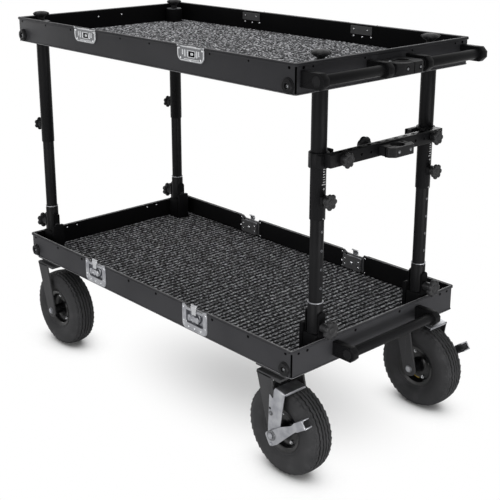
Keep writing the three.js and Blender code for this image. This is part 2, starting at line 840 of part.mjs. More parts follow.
// Pole clamp between the upper handles: a split block with an upright hole
function poleClamp() {
  const half = poleClampWidth / 2;
  const outline = [
    [seatGap, -half], [poleClampReach - poleClampChamfer, -half],
    [poleClampReach, poleClampChamfer - half], [poleClampReach, half - poleClampChamfer],
    [poleClampReach - poleClampChamfer, half], [seatGap, half],
  ];
  const height = poleClampHeight / 2;
  return cutBy(prism('z', outline, -height, height), [
    bore('z', poleHoleRadius, -height - cutOver, height + cutOver, poleHoleReach, 0, tubeFacets),
    block(poleHoleReach, poleClampReach + cutOver, -poleSplitWidth / 2, poleSplitWidth / 2,
      -height - cutOver, height + cutOver),
  ]);
}

addPiece('pole_clamp', poleClamp(), clampBlack, halfLength, 0, upperRim - handleDrop);

// Crossbar with its two front collar halves; local origin midway between the handle-end posts
function collarHalf(y, sign) {
  const reach = outerTubeRadius + seatGap + collarWall;
  const ring = rod('z', reach, collarBottom, collarBottom + collarHeight, 0, y, tubeFacets);
  const keep = block(sign * collarSplit / 2, sign * (reach + cutOver), y - reach - cutOver,
    y + reach + cutOver, collarBottom - cutOver, collarBottom + collarHeight + cutOver);
  return ring.intersect(keep);
}

function postBore(y) {
  return bore('z', outerTubeRadius + seatGap, collarBottom - cutOver,
    collarBottom + collarHeight + cutOver, 0, y, tubeFacets);
}

function barHoleY(index) {
  return barHoleInset - handlePostY + index * barHolePitch;
}

function crossbar() {
  let bar = block(barStandOff, barStandOff + barDepth, -barHalfLength, barHalfLength,
    barBottom, barTop);
  for (const side of [-1, 1]) {
    const y = side * handlePostY;
    const saddle = block(collarWall, barStandOff + weldLap, y - saddleHalfWidth,
      y + saddleHalfWidth, collarBottom, collarBottom + collarHeight);
    bar = joined([bar, collarHalf(y, 1), saddle]).subtract(postBore(y));
    bar = bar.subtract(bore('x', clampBoltRadius + runningGap, 0,
      barStandOff + barDepth + cutOver, side * (handlePostY - barKnobInset), barMiddle));
  }
  for (let i = 0; i < barHoleCount; i += 1) {
    bar = bar.subtract(bore('x', standBoltRadius + runningGap, barStandOff - cutOver,
      barStandOff + barDepth + cutOver, barHoleY(i), barMiddle));
  }
  return bar;
}

// The jaw behind a post, with an arm inboard for the clamp bolt
function barClamp(side) {
  const y = side * handlePostY;
  const back = -(outerTubeRadius + seatGap + collarWall);
  const arm = block(back, back + jawThickness, side * (handlePostY - jawReach),
    side * (handlePostY - earHalfWidth / 2), barMiddle - jawHeight / 2, barMiddle + jawHeight / 2);
  return cutBy(collarHalf(y, -1).add(arm), [
    postBore(y),
    bore('x', clampBoltRadius + runningGap, back - cutOver, back + jawThickness + cutOver,
      side * (handlePostY - barKnobInset), barMiddle),
  ]);
}

addPiece('crossbar', crossbar(), tubeBlack, postX, 0, 0);
for (const [side, name] of [[-1, 'left'], [1, 'right']]) {
  addPiece(`bar_clamp_${name}`, barClamp(side), clampBlack, postX, 0, 0);
  addPiece(`bar_clamp_knob_${name}`, sideKnob(1, barKnobRadius,
    barKnobReach - barKnobThickness / 2, barKnobReach + barKnobThickness / 2,
    barStandOff + barDepth + seatGap, -(outerTubeRadius + collarWall), clampBoltRadius),
  knobBlack, postX, side * (handlePostY - barKnobInset), barMiddle);
}

// Stand clamp: a foot on the bar's front face, a wider split jaw and an upright hole
function standClamp() {
  const footHalf = standFootWidth / 2;
  const jawHalf = standJawWidth / 2;
  const top = barTop - standClampDrop;
  const outline = [
    [seatGap, -footHalf], [standFootReach, -footHalf], [standFootReach, -jawHalf],
    [standJawReach - standJawChamfer, -jawHalf], [standJawReach, standJawChamfer - jawHalf],
    [standJawReach, jawHalf - standJawChamfer], [standJawReach - standJawChamfer, jawHalf],
    [standFootReach, jawHalf], [standFootReach, footHalf], [seatGap, footHalf],
  ];
  return cutBy(prism('z', outline, top - standClampHeight, top), [
    bore('z', standHoleRadius, top - standClampHeight - cutOver, top + cutOver,
      standHoleReach, 0, tubeFacets),
    block(standFootReach, standFootReach + standSplitWidth, -jawHalf - cutOver, 0,
      top - standClampHeight - cutOver, top + cutOver),
    bore('x', standBoltRadius + runningGap, -cutOver, standBoltDepth, barHoleY(standKnobSlot),
      barMiddle),
  ]);
}

addPiece('stand_clamp', standClamp(), clampBlack, postX + barStandOff + barDepth, 0, 0);
addPiece('stand_clamp_knob', joined([
  prism('x', starOutline(standKnobRadius), -standKnobReach - standKnobThickness, -standKnobReach),
  rod('x', knobHubRadius, -standKnobReach - weldLap, -seatGap, 0, 0),
  rod('x', standBoltRadius, -standKnobReach - weldLap, barDepth + standBoltDepth - seatGap, 0, 0),
]), knobBlack, postX + barStandOff, barHoleY(standKnobSlot), barMiddle);

// The cart stands on the floor at z = 0, centred over the origin
const reach = new THREE.Box3().setFromObject(cart);
const middle = reach.getCenter(new THREE.Vector3());
cart.position.set(-middle.x, -middle.y, -reach.min.z);
const group = new THREE.Group();
group.add(cart);

export default group;
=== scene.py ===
import math
import bpy
import numpy as np
from mathutils import Matrix, Vector


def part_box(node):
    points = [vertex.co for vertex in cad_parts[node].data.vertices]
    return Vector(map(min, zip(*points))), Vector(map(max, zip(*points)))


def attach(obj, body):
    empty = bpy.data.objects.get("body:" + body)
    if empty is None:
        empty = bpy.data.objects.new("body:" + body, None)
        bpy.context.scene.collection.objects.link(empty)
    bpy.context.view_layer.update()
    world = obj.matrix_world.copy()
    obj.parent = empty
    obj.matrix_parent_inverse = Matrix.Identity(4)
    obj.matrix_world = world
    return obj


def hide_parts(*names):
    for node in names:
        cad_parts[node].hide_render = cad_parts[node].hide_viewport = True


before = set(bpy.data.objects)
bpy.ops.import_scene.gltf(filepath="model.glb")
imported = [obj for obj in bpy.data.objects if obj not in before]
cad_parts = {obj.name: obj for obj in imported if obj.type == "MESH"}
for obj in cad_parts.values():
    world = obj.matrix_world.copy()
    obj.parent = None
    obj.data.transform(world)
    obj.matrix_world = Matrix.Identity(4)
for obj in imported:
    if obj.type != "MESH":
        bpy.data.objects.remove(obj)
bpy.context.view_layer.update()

mm = 1000.0                   # millimetres in a metre


# Places come from the frame. Everything below is in millimetres, with x from the trays' middle
# and z from the floor; addPiece turns it to metres at the end.
def nodeBox(node):
    low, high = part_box(node)
    return np.array(low) * mm, np.array(high) * mm


rolledLip, bumperRise, casterTrail = 4.0, 8.0, 24.0
lowerLow, lowerHigh = nodeBox("lower_frame")
upperLow, upperHigh = nodeBox("upper_frame")
middleX = float(lowerLow[0] + lowerHigh[0]) / 2
halfLength = float(lowerHigh[0] - lowerLow[0]) / 2 - rolledLip
halfWidth = float(lowerHigh[1] - lowerLow[1]) / 2 - bumperRise
lowerRim, upperRim = float(lowerHigh[2]), float(upperHigh[2])
trays = (("lower", lowerRim, "base"), ("upper", upperRim, "upper_tray"))
wallHeight = float(upperHigh[2] - upperLow[2])


def nodeMiddle(node):
    low, high = nodeBox(node)
    return (low + high) / 2 - np.array([middleX, 0, 0])


corners = {}
for cornerName, sx, sy in (("handle_left", 1, -1), ("handle_right", 1, 1),
                           ("far_left", -1, -1), ("far_right", -1, 1)):
    post, wheel = nodeMiddle(f"inner_post_{cornerName}"), nodeMiddle(f"tyre_{cornerName}")
    corners[cornerName] = {"x": sx, "y": sy, "postX": post[0], "postY": post[1],
                           "stemX": wheel[0] - casterTrail, "stemY": wheel[1], "axleX": wheel[0],
                           "axleZ": wheel[2], "braked": sx > 0}
latchPlaces = {"left_handle": (1, -1), "left_far": (-1, -1), "right_handle": (1, 1), "right_far": (-1, 1)}
latchX = abs(float(nodeMiddle("latch_wing_left_handle")[0]))


# Colours and materials
def linear(hexColour):
    # sRGB hex to linear: each channel goes through the display curve backwards
    out = []
    for i in (0, 2, 4):
        value = int(hexColour[i:i + 2], 16) / 255
        out.append(value / 12.92 if value <= 0.04045 else ((value + 0.055) / 1.055) ** 2.4)
    return (*out, 1.0)


def addNode(tree, kind, settings=None, links=None):
    # settings: socket names or node attributes to values; links: socket name to an output socket
    node = tree.nodes.new(kind)
    for key, value in (settings or {}).items():
        if key in node.inputs:
            node.inputs[key].default_value = value
        else:
            setattr(node, key, value)
    for key, source in (links or {}).items():
        tree.links.new(source, node.inputs[key])
    return node


def newMaterial(name, settings):
    material = bpy.data.materials.new(name)
    material.use_nodes = True
    tree = material.node_tree
    shader = tree.nodes["Principled BSDF"]
    for key, value in settings.items():
        shader.inputs[key].default_value = value
    place = addNode(tree, "ShaderNodeTexCoord").outputs["Object"]
    return material, tree, shader, place


def ramp(tree, source, stops):
    node = addNode(tree, "ShaderNodeValToRGB", links={"Fac": source})
    elements = node.color_ramp.elements
    while len(elements) < len(stops):
        elements.new(0.5)
    for element, (at, colour) in zip(elements, stops):
        element.position = at
        element.color = linear(colour) if isinstance(colour, str) else (colour, colour, colour, 1)
    return node.outputs["Color"]


def grain(tree, place, size, detail=2.0, stretch=(1, 1, 1), rough=0.5):
    # noise whose lumps are about size millimetres across, squeezed along an axis by its stretch
    scale = tuple(s * mm / size for s in stretch)
    spot = addNode(tree, "ShaderNodeMapping", {"Scale": scale}, {"Vector": place})
    return addNode(tree, "ShaderNodeTexNoise", {"Scale": 1.0, "Detail": detail, "Roughness": rough},
                   {"Vector": spot.outputs["Vector"]}).outputs["Fac"]


def multiplied(tree, first, second, factor):
    mix = addNode(tree, "ShaderNodeMix", {"data_type": "RGBA", "blend_type": "MULTIPLY"})
    mix.inputs["Factor"].default_value = factor
    tree.links.new(first, mix.inputs[6])
    tree.links.new(second, mix.inputs[7])
    return mix.outputs[2]


def bumpFrom(tree, shader, height, strength, depth):
    bump = addNode(tree, "ShaderNodeBump", {"Strength": strength, "Distance": depth / mm},
                   {"Height": height})
    tree.links.new(bump.outputs["Normal"], shader.inputs["Normal"])


def coatedMetal(name, dark, light, roughness, grit, bumpDepth, gloss=0.2, metallic=0.0):
    # a coat, an anodised skin or a moulded grain: slow shifts of tone, fine grit in the gloss
    material, tree, shader, place = newMaterial(name, {"Metallic": metallic, "Roughness": roughness,
                                                       "Specular IOR Level": gloss})
    cloud = grain(tree, place, 160, 4)
    tree.links.new(ramp(tree, cloud, [(0.3, dark), (0.7, light)]), shader.inputs["Base Color"])
    fine = grain(tree, place, grit, 3)
    sheen = ramp(tree, fine, [(0.25, roughness - 0.06), (0.75, roughness + 0.08)])
    tree.links.new(sheen, shader.inputs["Roughness"])
    bumpFrom(tree, shader, fine, 0.35, bumpDepth)
    return material


def makeCarpetPile():
    # polypropylene loop pile: charcoal yarn in ribs with pale flecks of yarn and painted shade darkening the
    # furrows, no gloss.
    # The attribute pile is 0 in a furrow and 1 on a rib's crest.
    spec = {"fleck": 5.0, "yarn": 3.0}
    material, tree, shader, place = newMaterial("ribbedLoopCarpet", {"Roughness": 0.95,
                                                                     "Specular IOR Level": 0.1})
    pile = addNode(tree, "ShaderNodeAttribute", {"attribute_name": "pile"}).outputs["Fac"]
    fleck = grain(tree, place, spec["fleck"], 3, (1, 0.6, 1), 0.6)
    yarn = grain(tree, place, spec["yarn"], 2, (1, 0.6, 1), 0.6)
    tone = ramp(tree, fleck, [(0.36, "29292a"), (0.46, "58585a"), (0.54, "98999c"), (0.62, "eaebee")])
    # painted shade: the colour falls nearly to black down in each furrow
    furrowShade = ramp(tree, pile, [(0.0, 0.03), (0.3, 0.1), (0.55, 0.72), (0.8, 1.0)])
    shade = ramp(tree, yarn, [(0.32, 0.4), (0.56, 1.0)])
    mixed = multiplied(tree, multiplied(tree, tone, shade, 0.8), furrowShade, 1.0)
    tree.links.new(mixed, shader.inputs["Base Color"])
    bumpFrom(tree, shader, yarn, 0.9, 1.6)
    return material


def makeTyreRubber():
    # carbon-black tyre rubber: matt, a trace of dust, fine moulded grain
    material, tree, shader, place = newMaterial("tyreRubber", {"Roughness": 0.72,
                                                               "Specular IOR Level": 0.12})
    dust = grain(tree, place, 38, 5)
    tree.links.new(ramp(tree, dust, [(0.32, "242425"), (0.55, "2a2a2b"), (0.74, "343435")]),
                   shader.inputs["Base Color"])
    fine = grain(tree, place, 1.6, 3)
    tree.links.new(ramp(tree, dust, [(0.3, 0.62), (0.7, 0.8)]), shader.inputs["Roughness"])
    bumpFrom(tree, shader, fine, 0.4, 0.25)
    return material


def makeZinc():
    # bright zinc plate on pressed steel: silvery, slightly cloudy, faint rolling lines
    material, tree, shader, place = newMaterial("brightZincSteel", {"Metallic": 1.0,
                                                                    "Roughness": 0.34})
    cloud = grain(tree, place, 26, 4)
    tree.links.new(ramp(tree, cloud, [(0.3, "84858a"), (0.7, "a6a7aa")]), shader.inputs["Base Color"])
    lines = grain(tree, place, 7, 3, (0.25, 0.25, 4))
    tree.links.new(ramp(tree, lines, [(0.3, 0.28), (0.7, 0.44)]), shader.inputs["Roughness"])
    bumpFrom(tree, shader, lines, 0.15, 0.05)
    return material


def plainFinish(name, colour, roughness, metallic=0.0, gloss=0.5, grit=1.2, shift=0.12):
    # small parts: one tone with a little fine mottling
    material, tree, shader, place = newMaterial(name, {"Metallic": metallic, "Roughness": roughness,
                                                       "Specular IOR Level": gloss})
    fine = grain(tree, place, grit, 3)
    node = addNode(tree, "ShaderNodeMix", {"data_type": "RGBA"}, {"Factor": fine})
    for socket, change in ((6, 1 - shift), (7, 1 + shift)):
        node.inputs[socket].default_value = (*(min(1, c * change) for c in linear(colour)[:3]), 1)
    tree.links.new(node.outputs[2], shader.inputs["Base Color"])
    bumpFrom(tree, shader, fine, 0.25, 0.08)
    return material


finish = {
    # polyester powder coat on bent aluminium: satin black with fine orange peel
    "trayCoat": coatedMetal("satinPowderCoat", "28282a", "2f2f31", 0.5, 1.8, 0.12, 0.07),
    # the same black powder coat inside the trays and on the decks, matt and much darker as painted shade
    "shadedCoat": coatedMetal("shadedMattPowderCoat", "0a0a0b", "0d0d0e", 0.6, 2.5, 0.15, 0.03),
    # painted highlight: a light grey strip for the light caught along the wall's top edge and the foot lip
    "rimHighlight": coatedMetal("paintedRimHighlight", "5c5c5d", "6e6e6f", 0.4, 1.2, 0.03, 0.4),
    # black anodised drawn tube: deep black with a soft sheen
    "tubeBlack": coatedMetal("blackAnodisedTube", "0f0f10", "141415", 0.34, 0.9, 0.04, 0.04),
    # black anodised milled blocks
    "milledBlack": coatedMetal("blackAnodisedBlock", "171718", "1d1d1e", 0.38, 1.1, 0.05, 0.07),
    # dark enamel on the pressed caster forks
    "forkEnamel": coatedMetal("darkEnamelSteel", "2c2c2d", "343435", 0.5, 2.2, 0.1, 0.1),
    # black gloss enamel on the pressed wheel discs
    "rimEnamel": coatedMetal("blackEnamelRim", "070708", "0c0c0d", 0.28, 2.0, 0.06, 0.3),
    # glass-filled nylon knobs: dull black with a fine spark texture
    "knobNylon": coatedMetal("mouldedNylon", "1c1c1d", "242425", 0.42, 0.8, 0.1, 0.14),
    # soft black rubber of the valve stems, quite matt
    "valveRubber": coatedMetal("valveRubber", "131313", "1b1b1b", 0.6, 1.2, 0.1),
    "carpet": makeCarpetPile(),
    "tyre": makeTyreRubber(),
    "zinc": makeZinc(),
    # a darker copy of the zinc as painted shade: the swivel races and bolts in the cart's shadow, washers,
    # small screws and the keeper plates
    "shadedZinc": plainFinish("shadedZincSteel", "6a6b6d", 0.4, 1.0),
    # polished plated steel of rivets, hooks and wheel bolts: small bright glints; on the keepers it also
    # lights the raised relief as painted highlight
    "rivetSteel": plainFinish("polishedRivetSteel", "b8b9bb", 0.25, 1.0),
    # phosphated steel of the plates inside the walls: dull dark grey
    "backPlate": plainFinish("phosphatedPlate", "4a4a4b", 0.5, 0.6),
    # painted shade: near black with no shine, for the inside of holes, slots, windows and hollows; also the
    # corner seams and the small dark screw heads
    "darkHole": plainFinish("shadowedHole", "030303", 0.9, gloss=0.0),
    # flat paints: pale grey on the posts' scale, dull yellow by each valve
    "tickPaint": plainFinish("scaleTickPaint", "9a9a9a", 0.7, gloss=0.1),
    "valveYellow": plainFinish("yellowValveMark", "8f7a35", 0.6, gloss=0.1),
}


# Surfaces. A shell is (points, [face arrays]).
def gridFaces(rows, cols, closeRows, closeCols):
    # a quad between each point, its neighbour along the row and the two points of the next row
    lastRow = rows if closeRows else rows - 1
    lastCol = cols if closeCols else cols - 1
    i, j = np.meshgrid(np.arange(lastRow), np.arange(lastCol), indexing="ij")
    down, right = (i + 1) % rows, (j + 1) % cols
    return np.stack([i * cols + j, down * cols + j, down * cols + right, i * cols + right],
                    -1).reshape(-1, 4)


def shellVolume(points, faceArrays):
    # the signed volume: each face's fan of triangles against the origin
    total = 0.0
    for faces in faceArrays:
        for k in range(1, faces.shape[1] - 1):
            a, b, c = points[faces[:, 0]], points[faces[:, k]], points[faces[:, k + 1]]
            total += float(np.einsum("ij,ij->i", a, np.cross(b, c)).sum()) / 6
    return total


def outward(points, faceArrays):
    # turns every face round where the signed volume is negative
    points = np.asarray(points, float)
    if shellVolume(points - points.mean(0), faceArrays) < 0:
        faceArrays = [faces[:, ::-1] for faces in faceArrays]
    return points, faceArrays


def lay(axis, u, v, w):
    # puts flat coordinates u, v and the run w on the axes: the run lies along the named axis
    u, v, w = np.broadcast_arrays(u, v, w)
    return np.stack({"x": (w, u, v), "y": (u, w, v), "z": (u, v, w)}[axis], -1)


def joinShells(shells):
    # one list of points, with each shell's face numbers moved on by the points before it
    points, faceArrays, start = [], [], 0
    for shellPoints, shellFaces in shells:
        points.append(shellPoints)
        faceArrays += [faces + start for faces in shellFaces]
        start += len(shellPoints)
    return np.concatenate(points), faceArrays


def moved(shell, x=0.0, y=0.0, z=0.0):
    return shell[0] + np.array([x, y, z]), shell[1]


def flipped(shell, x=1, y=1, z=1):
    # turned inside out where it is mirrored, so its faces are set outward again
    return outward(shell[0] * np.array([x, y, z]), shell[1])


def onSide(shells, side):
    # shells drawn for the +Y side, put on the side of that sign
    return [flipped(shell, y=side) for shell in shells]


def rotated(shell, axis, degrees):
    turn = np.array(Matrix.Rotation(math.radians(degrees), 3, axis.upper()))
    return shell[0] @ turn.T, shell[1]


def turned(profile, axis="z", centre=(0, 0, 0), steps=32, wave=None):
    # a profile of (radius, height) points turned about an axis: u = r cos t, v = r sin t, w = h.
    # Radius 0 at an end closes it in a pole; without poles the profile closes on itself.
    # wave(rings, t) may scale the radius round the turn, for lobes.
    profile = np.array(profile, float)
    poleA, poleB = profile[0, 0] == 0, profile[-1, 0] == 0
    rings = profile[(1 if poleA else 0):(-1 if poleB else None)]
    t = np.arange(steps) * 2 * math.pi / steps
    radius = rings[:, :1] * (np.ones((len(rings), steps)) if wave is None else wave(rings, t))
    points = lay(axis, radius * np.cos(t), radius * np.sin(t), rings[:, 1:2]).reshape(-1, 3)
    last = len(points) - steps
    faces = [gridFaces(len(rings), steps, not (poleA or poleB), True)]
    around, following = np.arange(steps), (np.arange(steps) + 1) % steps
    for pole, ring, end in ((poleA, (around, following), 0), (poleB, (last + following, last + around), -1)):
        if pole:
            points = np.concatenate([points, lay(axis, 0.0, 0.0, profile[end, 1])[None]])
            faces.append(np.stack([np.full(steps, len(points) - 1), *ring], -1))
    return outward(points + np.array(centre, float), faces)


def bevelledRod(radius, start, end, axis="z", centre=(0, 0, 0), edge=1.0, steps=24, wave=None):
    # a round bar with softened ends: a quarter circle of the edge size at each end
    low, high = min(start, end), max(start, end)
    edge = min(edge, radius * 0.9, (high - low) * 0.45)
    a = np.linspace(0, math.pi / 2, 4)
    foot = [(radius - edge + edge * math.sin(t), low + edge - edge * math.cos(t)) for t in a]
    head = [(radius - edge + edge * math.cos(t), high - edge + edge * math.sin(t)) for t in a]
    return turned([(0, low)] + foot + head + [(0, high)], axis, centre, steps, wave)


def tubeShell(outer, inner, start, end, axis="z", centre=(0, 0, 0), edge=0.6, steps=32):
    # a hollow tube: the wall's outline with softened corners, turned about the axis
    low, high = min(start, end), max(start, end)
    return turned([(inner, low + edge), (inner + edge, low), (outer - edge, low), (outer, low + edge),
                   (outer, high - edge), (outer - edge, high), (inner + edge, high), (inner, high - edge)],
                  axis, centre, steps)


def arc(centre, radius, start, end, steps=12):
    # centre + r (cos t, sin t), with t from start to end in degrees
    t = np.radians(np.linspace(start, end, steps + 1))
    return np.stack([centre[0] + radius * np.cos(t), centre[1] + radius * np.sin(t)], -1)


def circle(radius, centre=(0, 0), steps=32, phase=0.0):
    # centre + r (cos t, sin t) once round, in equal steps
    t = np.arange(steps) * 2 * math.pi / steps + phase
    return np.stack([centre[0] + radius * np.cos(t), centre[1] + radius * np.sin(t)], -1)


def filleted(points, radii, steps=4):
    # an outline with each corner rounded: the arc touches both sides at r / tan(half angle)
    points = np.array(points, float)
    radii = np.broadcast_to(radii, len(points))
    out = []
    for i, corner in enumerate(points):
        before, after = points[i - 1] - corner, points[(i + 1) % len(points)] - corner
        lengthA, lengthB = np.linalg.norm(before), np.linalg.norm(after)
        before, after = before / lengthA, after / lengthB
        half = math.acos(max(-1, min(1, float(before @ after)))) / 2
        if radii[i] <= 0 or half > 1.55:
            out.append(corner)
            continue
        reach = min(radii[i] / math.tan(half), lengthA * 0.49, lengthB * 0.49)
        radius = reach * math.tan(half)
        bisector = before + after
        centre = corner + bisector / np.linalg.norm(bisector) * radius / math.sin(half)
        first, last = corner + before * reach - centre, corner + after * reach - centre
        startAngle = math.atan2(first[1], first[0])
        sweep = math.atan2(last[1], last[0]) - startAngle
        sweep = (sweep + math.pi) % (2 * math.pi) - math.pi
        for angle in startAngle + sweep * np.linspace(0, 1, steps + 1):
            out.append(centre + radius * np.array([math.cos(angle), math.sin(angle)]))
    return np.array(out)


def rectangle(u0, u1, v0, v1, radius=0.0, steps=4):
    # the four corners, rounded where there is a radius
    u0, u1, v0, v1 = min(u0, u1), max(u0, u1), min(v0, v1), max(v0, v1)
    points = np.array([(u0, v0), (u1, v0), (u1, v1), (u0, v1)], float)
    return filleted(points, radius, steps) if np.any(np.asarray(radius) > 0) else points


def inset(outline, distance):
    # each point moves in along the mitre of its two sides; a positive distance shrinks the outline
    outline = np.asarray(outline, float)
    following = np.roll(outline, -1, 0)
    area = np.sum(outline[:, 0] * following[:, 1] - following[:, 0] * outline[:, 1])
    side = following - outline
    side /= np.maximum(np.linalg.norm(side, axis=1, keepdims=True), 1e-9)
    normal = np.stack([side[:, 1], -side[:, 0]], -1) * np.sign(area)
    mitre = normal + np.roll(normal, 1, 0)
    mitre /= np.maximum((mitre * mitre).sum(1, keepdims=True) / 2, 0.35)
    return outline - mitre * distance


def slab(outline, axis, start, end, edge=0.8, steps=2):
    # an outline carried along an axis with quarter-round edges at both ends
    low, high = min(start, end), max(start, end)
    edge = min(edge, (high - low) * 0.45)
    a = np.linspace(0, math.pi / 2, steps + 1)
    rings = [(edge - edge * math.sin(t), low + edge - edge * math.cos(t)) for t in a]
    rings += [(edge - edge * math.cos(t), high - edge + edge * math.sin(t)) for t in a]
    count = len(outline)
    flats = [(inset(outline, shrink), height) for shrink, height in rings]
    points = np.concatenate([lay(axis, flat[:, 0], flat[:, 1], height) for flat, height in flats])
    loop = np.arange(count)[None]
    return outward(points, [gridFaces(len(rings), count, False, True), loop[:, ::-1],
                            loop + count * (len(rings) - 1)])


def box(x0, x1, y0, y1, z0, z1, edge=0.8, corner=0.8):
    # a rounded rectangle carried up from z0 to z1
    return slab(rectangle(x0, x1, y0, y1, corner, 3), "z", z0, z1, edge)


def spread(outline, centre, steps, phase=0.05):
    # the outline met by rays from a centre at equal angles, so that it matches another one
    outline = np.asarray(outline, float) - np.array(centre)
    side = np.roll(outline, -1, 0) - outline
    out = []
    for t in np.arange(steps) * 2 * math.pi / steps + phase:
        ray = np.array([math.cos(t), math.sin(t)])
        cross = ray[0] * side[:, 1] - ray[1] * side[:, 0]
        safe = np.where(np.abs(cross) < 1e-9, 1e-9, cross)
        along = (outline[:, 0] * side[:, 1] - outline[:, 1] * side[:, 0]) / safe
        across = (outline[:, 0] * ray[1] - outline[:, 1] * ray[0]) / safe
        hit = along[(across >= -1e-6) & (across <= 1 + 1e-6) & (along > 0) & (np.abs(cross) > 1e-9)]
        out.append(ray * hit.max() + np.array(centre))
    return np.array(out)


def framePlate(outer, inner, axis, start, end, edge=0.6, centre=None, steps=96):
    # a plate with a hole: both outlines are met by the same rays, and the section runs round between
    if centre is not None:
        outer, inner = spread(outer, centre, steps), spread(inner, centre, steps)
    low, high = min(start, end), max(start, end)
    edge = min(edge, (high - low) * 0.45)
    rows = [(outer, edge, low), (outer, 0, low + edge), (outer, 0, high - edge), (outer, edge, high),
            (inner, -edge, high), (inner, 0, high - edge), (inner, 0, low + edge), (inner, -edge, low)]
    flats = [(inset(outline, shrink), height) for outline, shrink, height in rows]
    points = np.concatenate([lay(axis, flat[:, 0], flat[:, 1], height) for flat, height in flats])
    return outward(points, [gridFaces(len(rows), len(outer), True, True)])


def roundHead(x, y, z, axis, sign, radius, height):
    # a low domed rivet or screw head that stands on a face
    a = np.linspace(0, math.pi / 2, 5)
    dome = [(radius * math.cos(t), height * math.sin(t)) for t in a[:-1]]
    shell = turned([(0, -0.4), (radius, -0.4)] + dome + [(0, height)], axis, (0, 0, 0), 14)
    return moved(flipped(shell, **{axis: sign}), x, y, z)


def addPiece(name, shells, material, body, stands=(), soften=38, weights=None, inside=None):
    # joins shells into one mesh in metres at the frame's place, hangs it on its body and hides the parts that
    # it stands for
    points, faceArrays = joinShells(shells if isinstance(shells, list) else [shells])
    mesh = bpy.data.meshes.new(name)
    faces = [face for array in faceArrays for face in array.tolist()]
    mesh.from_pydata(((points + np.array([middleX, 0, 0])) / mm).tolist(), [], faces)
    if weights is not None:
        mesh.attributes.new("pile", "FLOAT", "POINT").data.foreach_set("value", weights)
    mesh.validate()
    mesh.shade_smooth()
    mesh.set_sharp_from_angle(angle=math.radians(soften))
    mesh.materials.append(finish[material])
    # faces on the inner side take the darker coat: painted shade
    if inside is not None:
        mesh.materials.append(finish["shadedCoat"])
        mesh.polygons.foreach_set("material_index", inside.astype(np.int32))
    piece = bpy.data.objects.new(name, mesh)
    bpy.context.scene.collection.objects.link(piece)
    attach(piece, body)
    if stands:
        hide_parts(*stands)
    return piece


# Trays: the wall's section carried round a rectangle with soft corners
wall = {"thickness": 4.0, "corner": 5.0, "flange": 14.0, "flangeSheet": 3.0, "innerPoints": 4,
        "panHalf": 38.0, "panTop": 11.0, "panFoot": 55.0, "notchHalf": 40.0, "notchDepth": 8.0,
        "notchSquash": 0.3}                # the section's innerPoints run up the wall's inner side
rimProfile = [(-4, 1.4), (-3.6, 0.4), (-2.8, 0), (-1.2, 0.1), (-0.5, 1.1), (0.2, 1.5), (0.9, 1.1),
              (1.5, 0.2), (2.6, 0), (3.6, 0.4), (4, 1.3), (4, 2.4), (2.9, 2.9), (2.9, 3.7), (4, 4.2),
              (4, 6.0), (3.4, 6.8), (0.4, 7.2), (0, 8.0)]


def trayPath(plateHalf, notched):
    # stations round the tray: centre, normal, diagonal and whether a plate, a notch or a pan is there
    r, stations = wall["corner"], []

    def turn(sx, sy, start):
        for angle in np.radians(np.linspace(start, start + 90, 5)):
            stations.append((sx * (halfLength - r), sy * (halfWidth - r), math.cos(angle), math.sin(angle),
                             sx, sy, 0, 0, 0))

    notch = wall["notchHalf"] if notched else None
    offsets = [(-plateHalf - 0.4, 0, 0, 0), (-plateHalf, 1, 0, 0)]
    if notched:
        offsets += [(-notch - 0.3, 1, 0, 0), (-notch, 1, 1, 0), (-wall["panHalf"], 1, 1, 1),
                    (wall["panHalf"], 1, 1, 0), (notch, 1, 1, 0), (notch + 0.3, 1, 0, 0)]
    offsets += [(plateHalf, 1, 0, 0), (plateHalf + 0.4, 0, 0, 0)]
    for side in (-1, 1):
        turn(side, side, 180 if side < 0 else 0)
        for which in (side, -side):
            for offset, *flags in offsets:
                stations.append((which * latchX - side * offset, side * (halfWidth - r), 0, side, 0, side,
                                 *flags))
        turn(-side, side, 270 if side < 0 else 90)
    return np.array(stations, float)


def carryRound(profile, rimRows, rim, path):
    # P = c(s) + n(s) (r + d(t)), z = rim - h(t): c runs round the corner centres, n points outward,
    # and past the corner's radius the inner offsets meet on the diagonal
    profile = np.array(profile, float)
    plated, notched = path[:, 6] > 0, path[:, 7] > 0
    isRim = (np.arange(len(profile)) < rimRows)[:, None]
    d = np.repeat(profile[:, :1], len(path), 1)
    h = np.repeat(profile[:, 1:2], len(path), 1)
    d = np.where(isRim & plated, np.minimum(d, 0), d)
    h = np.where(isRim & notched, wall["notchDepth"] + h * wall["notchSquash"], h)
    reach = wall["corner"] + d
    flat = path[:, :2] + np.maximum(reach, 0)[..., None] * path[:, 2:4] \
        + np.minimum(reach, 0)[..., None] * path[:, 4:6]
    return np.concatenate([flat, (rim - h)[..., None]], -1).reshape(-1, 3)


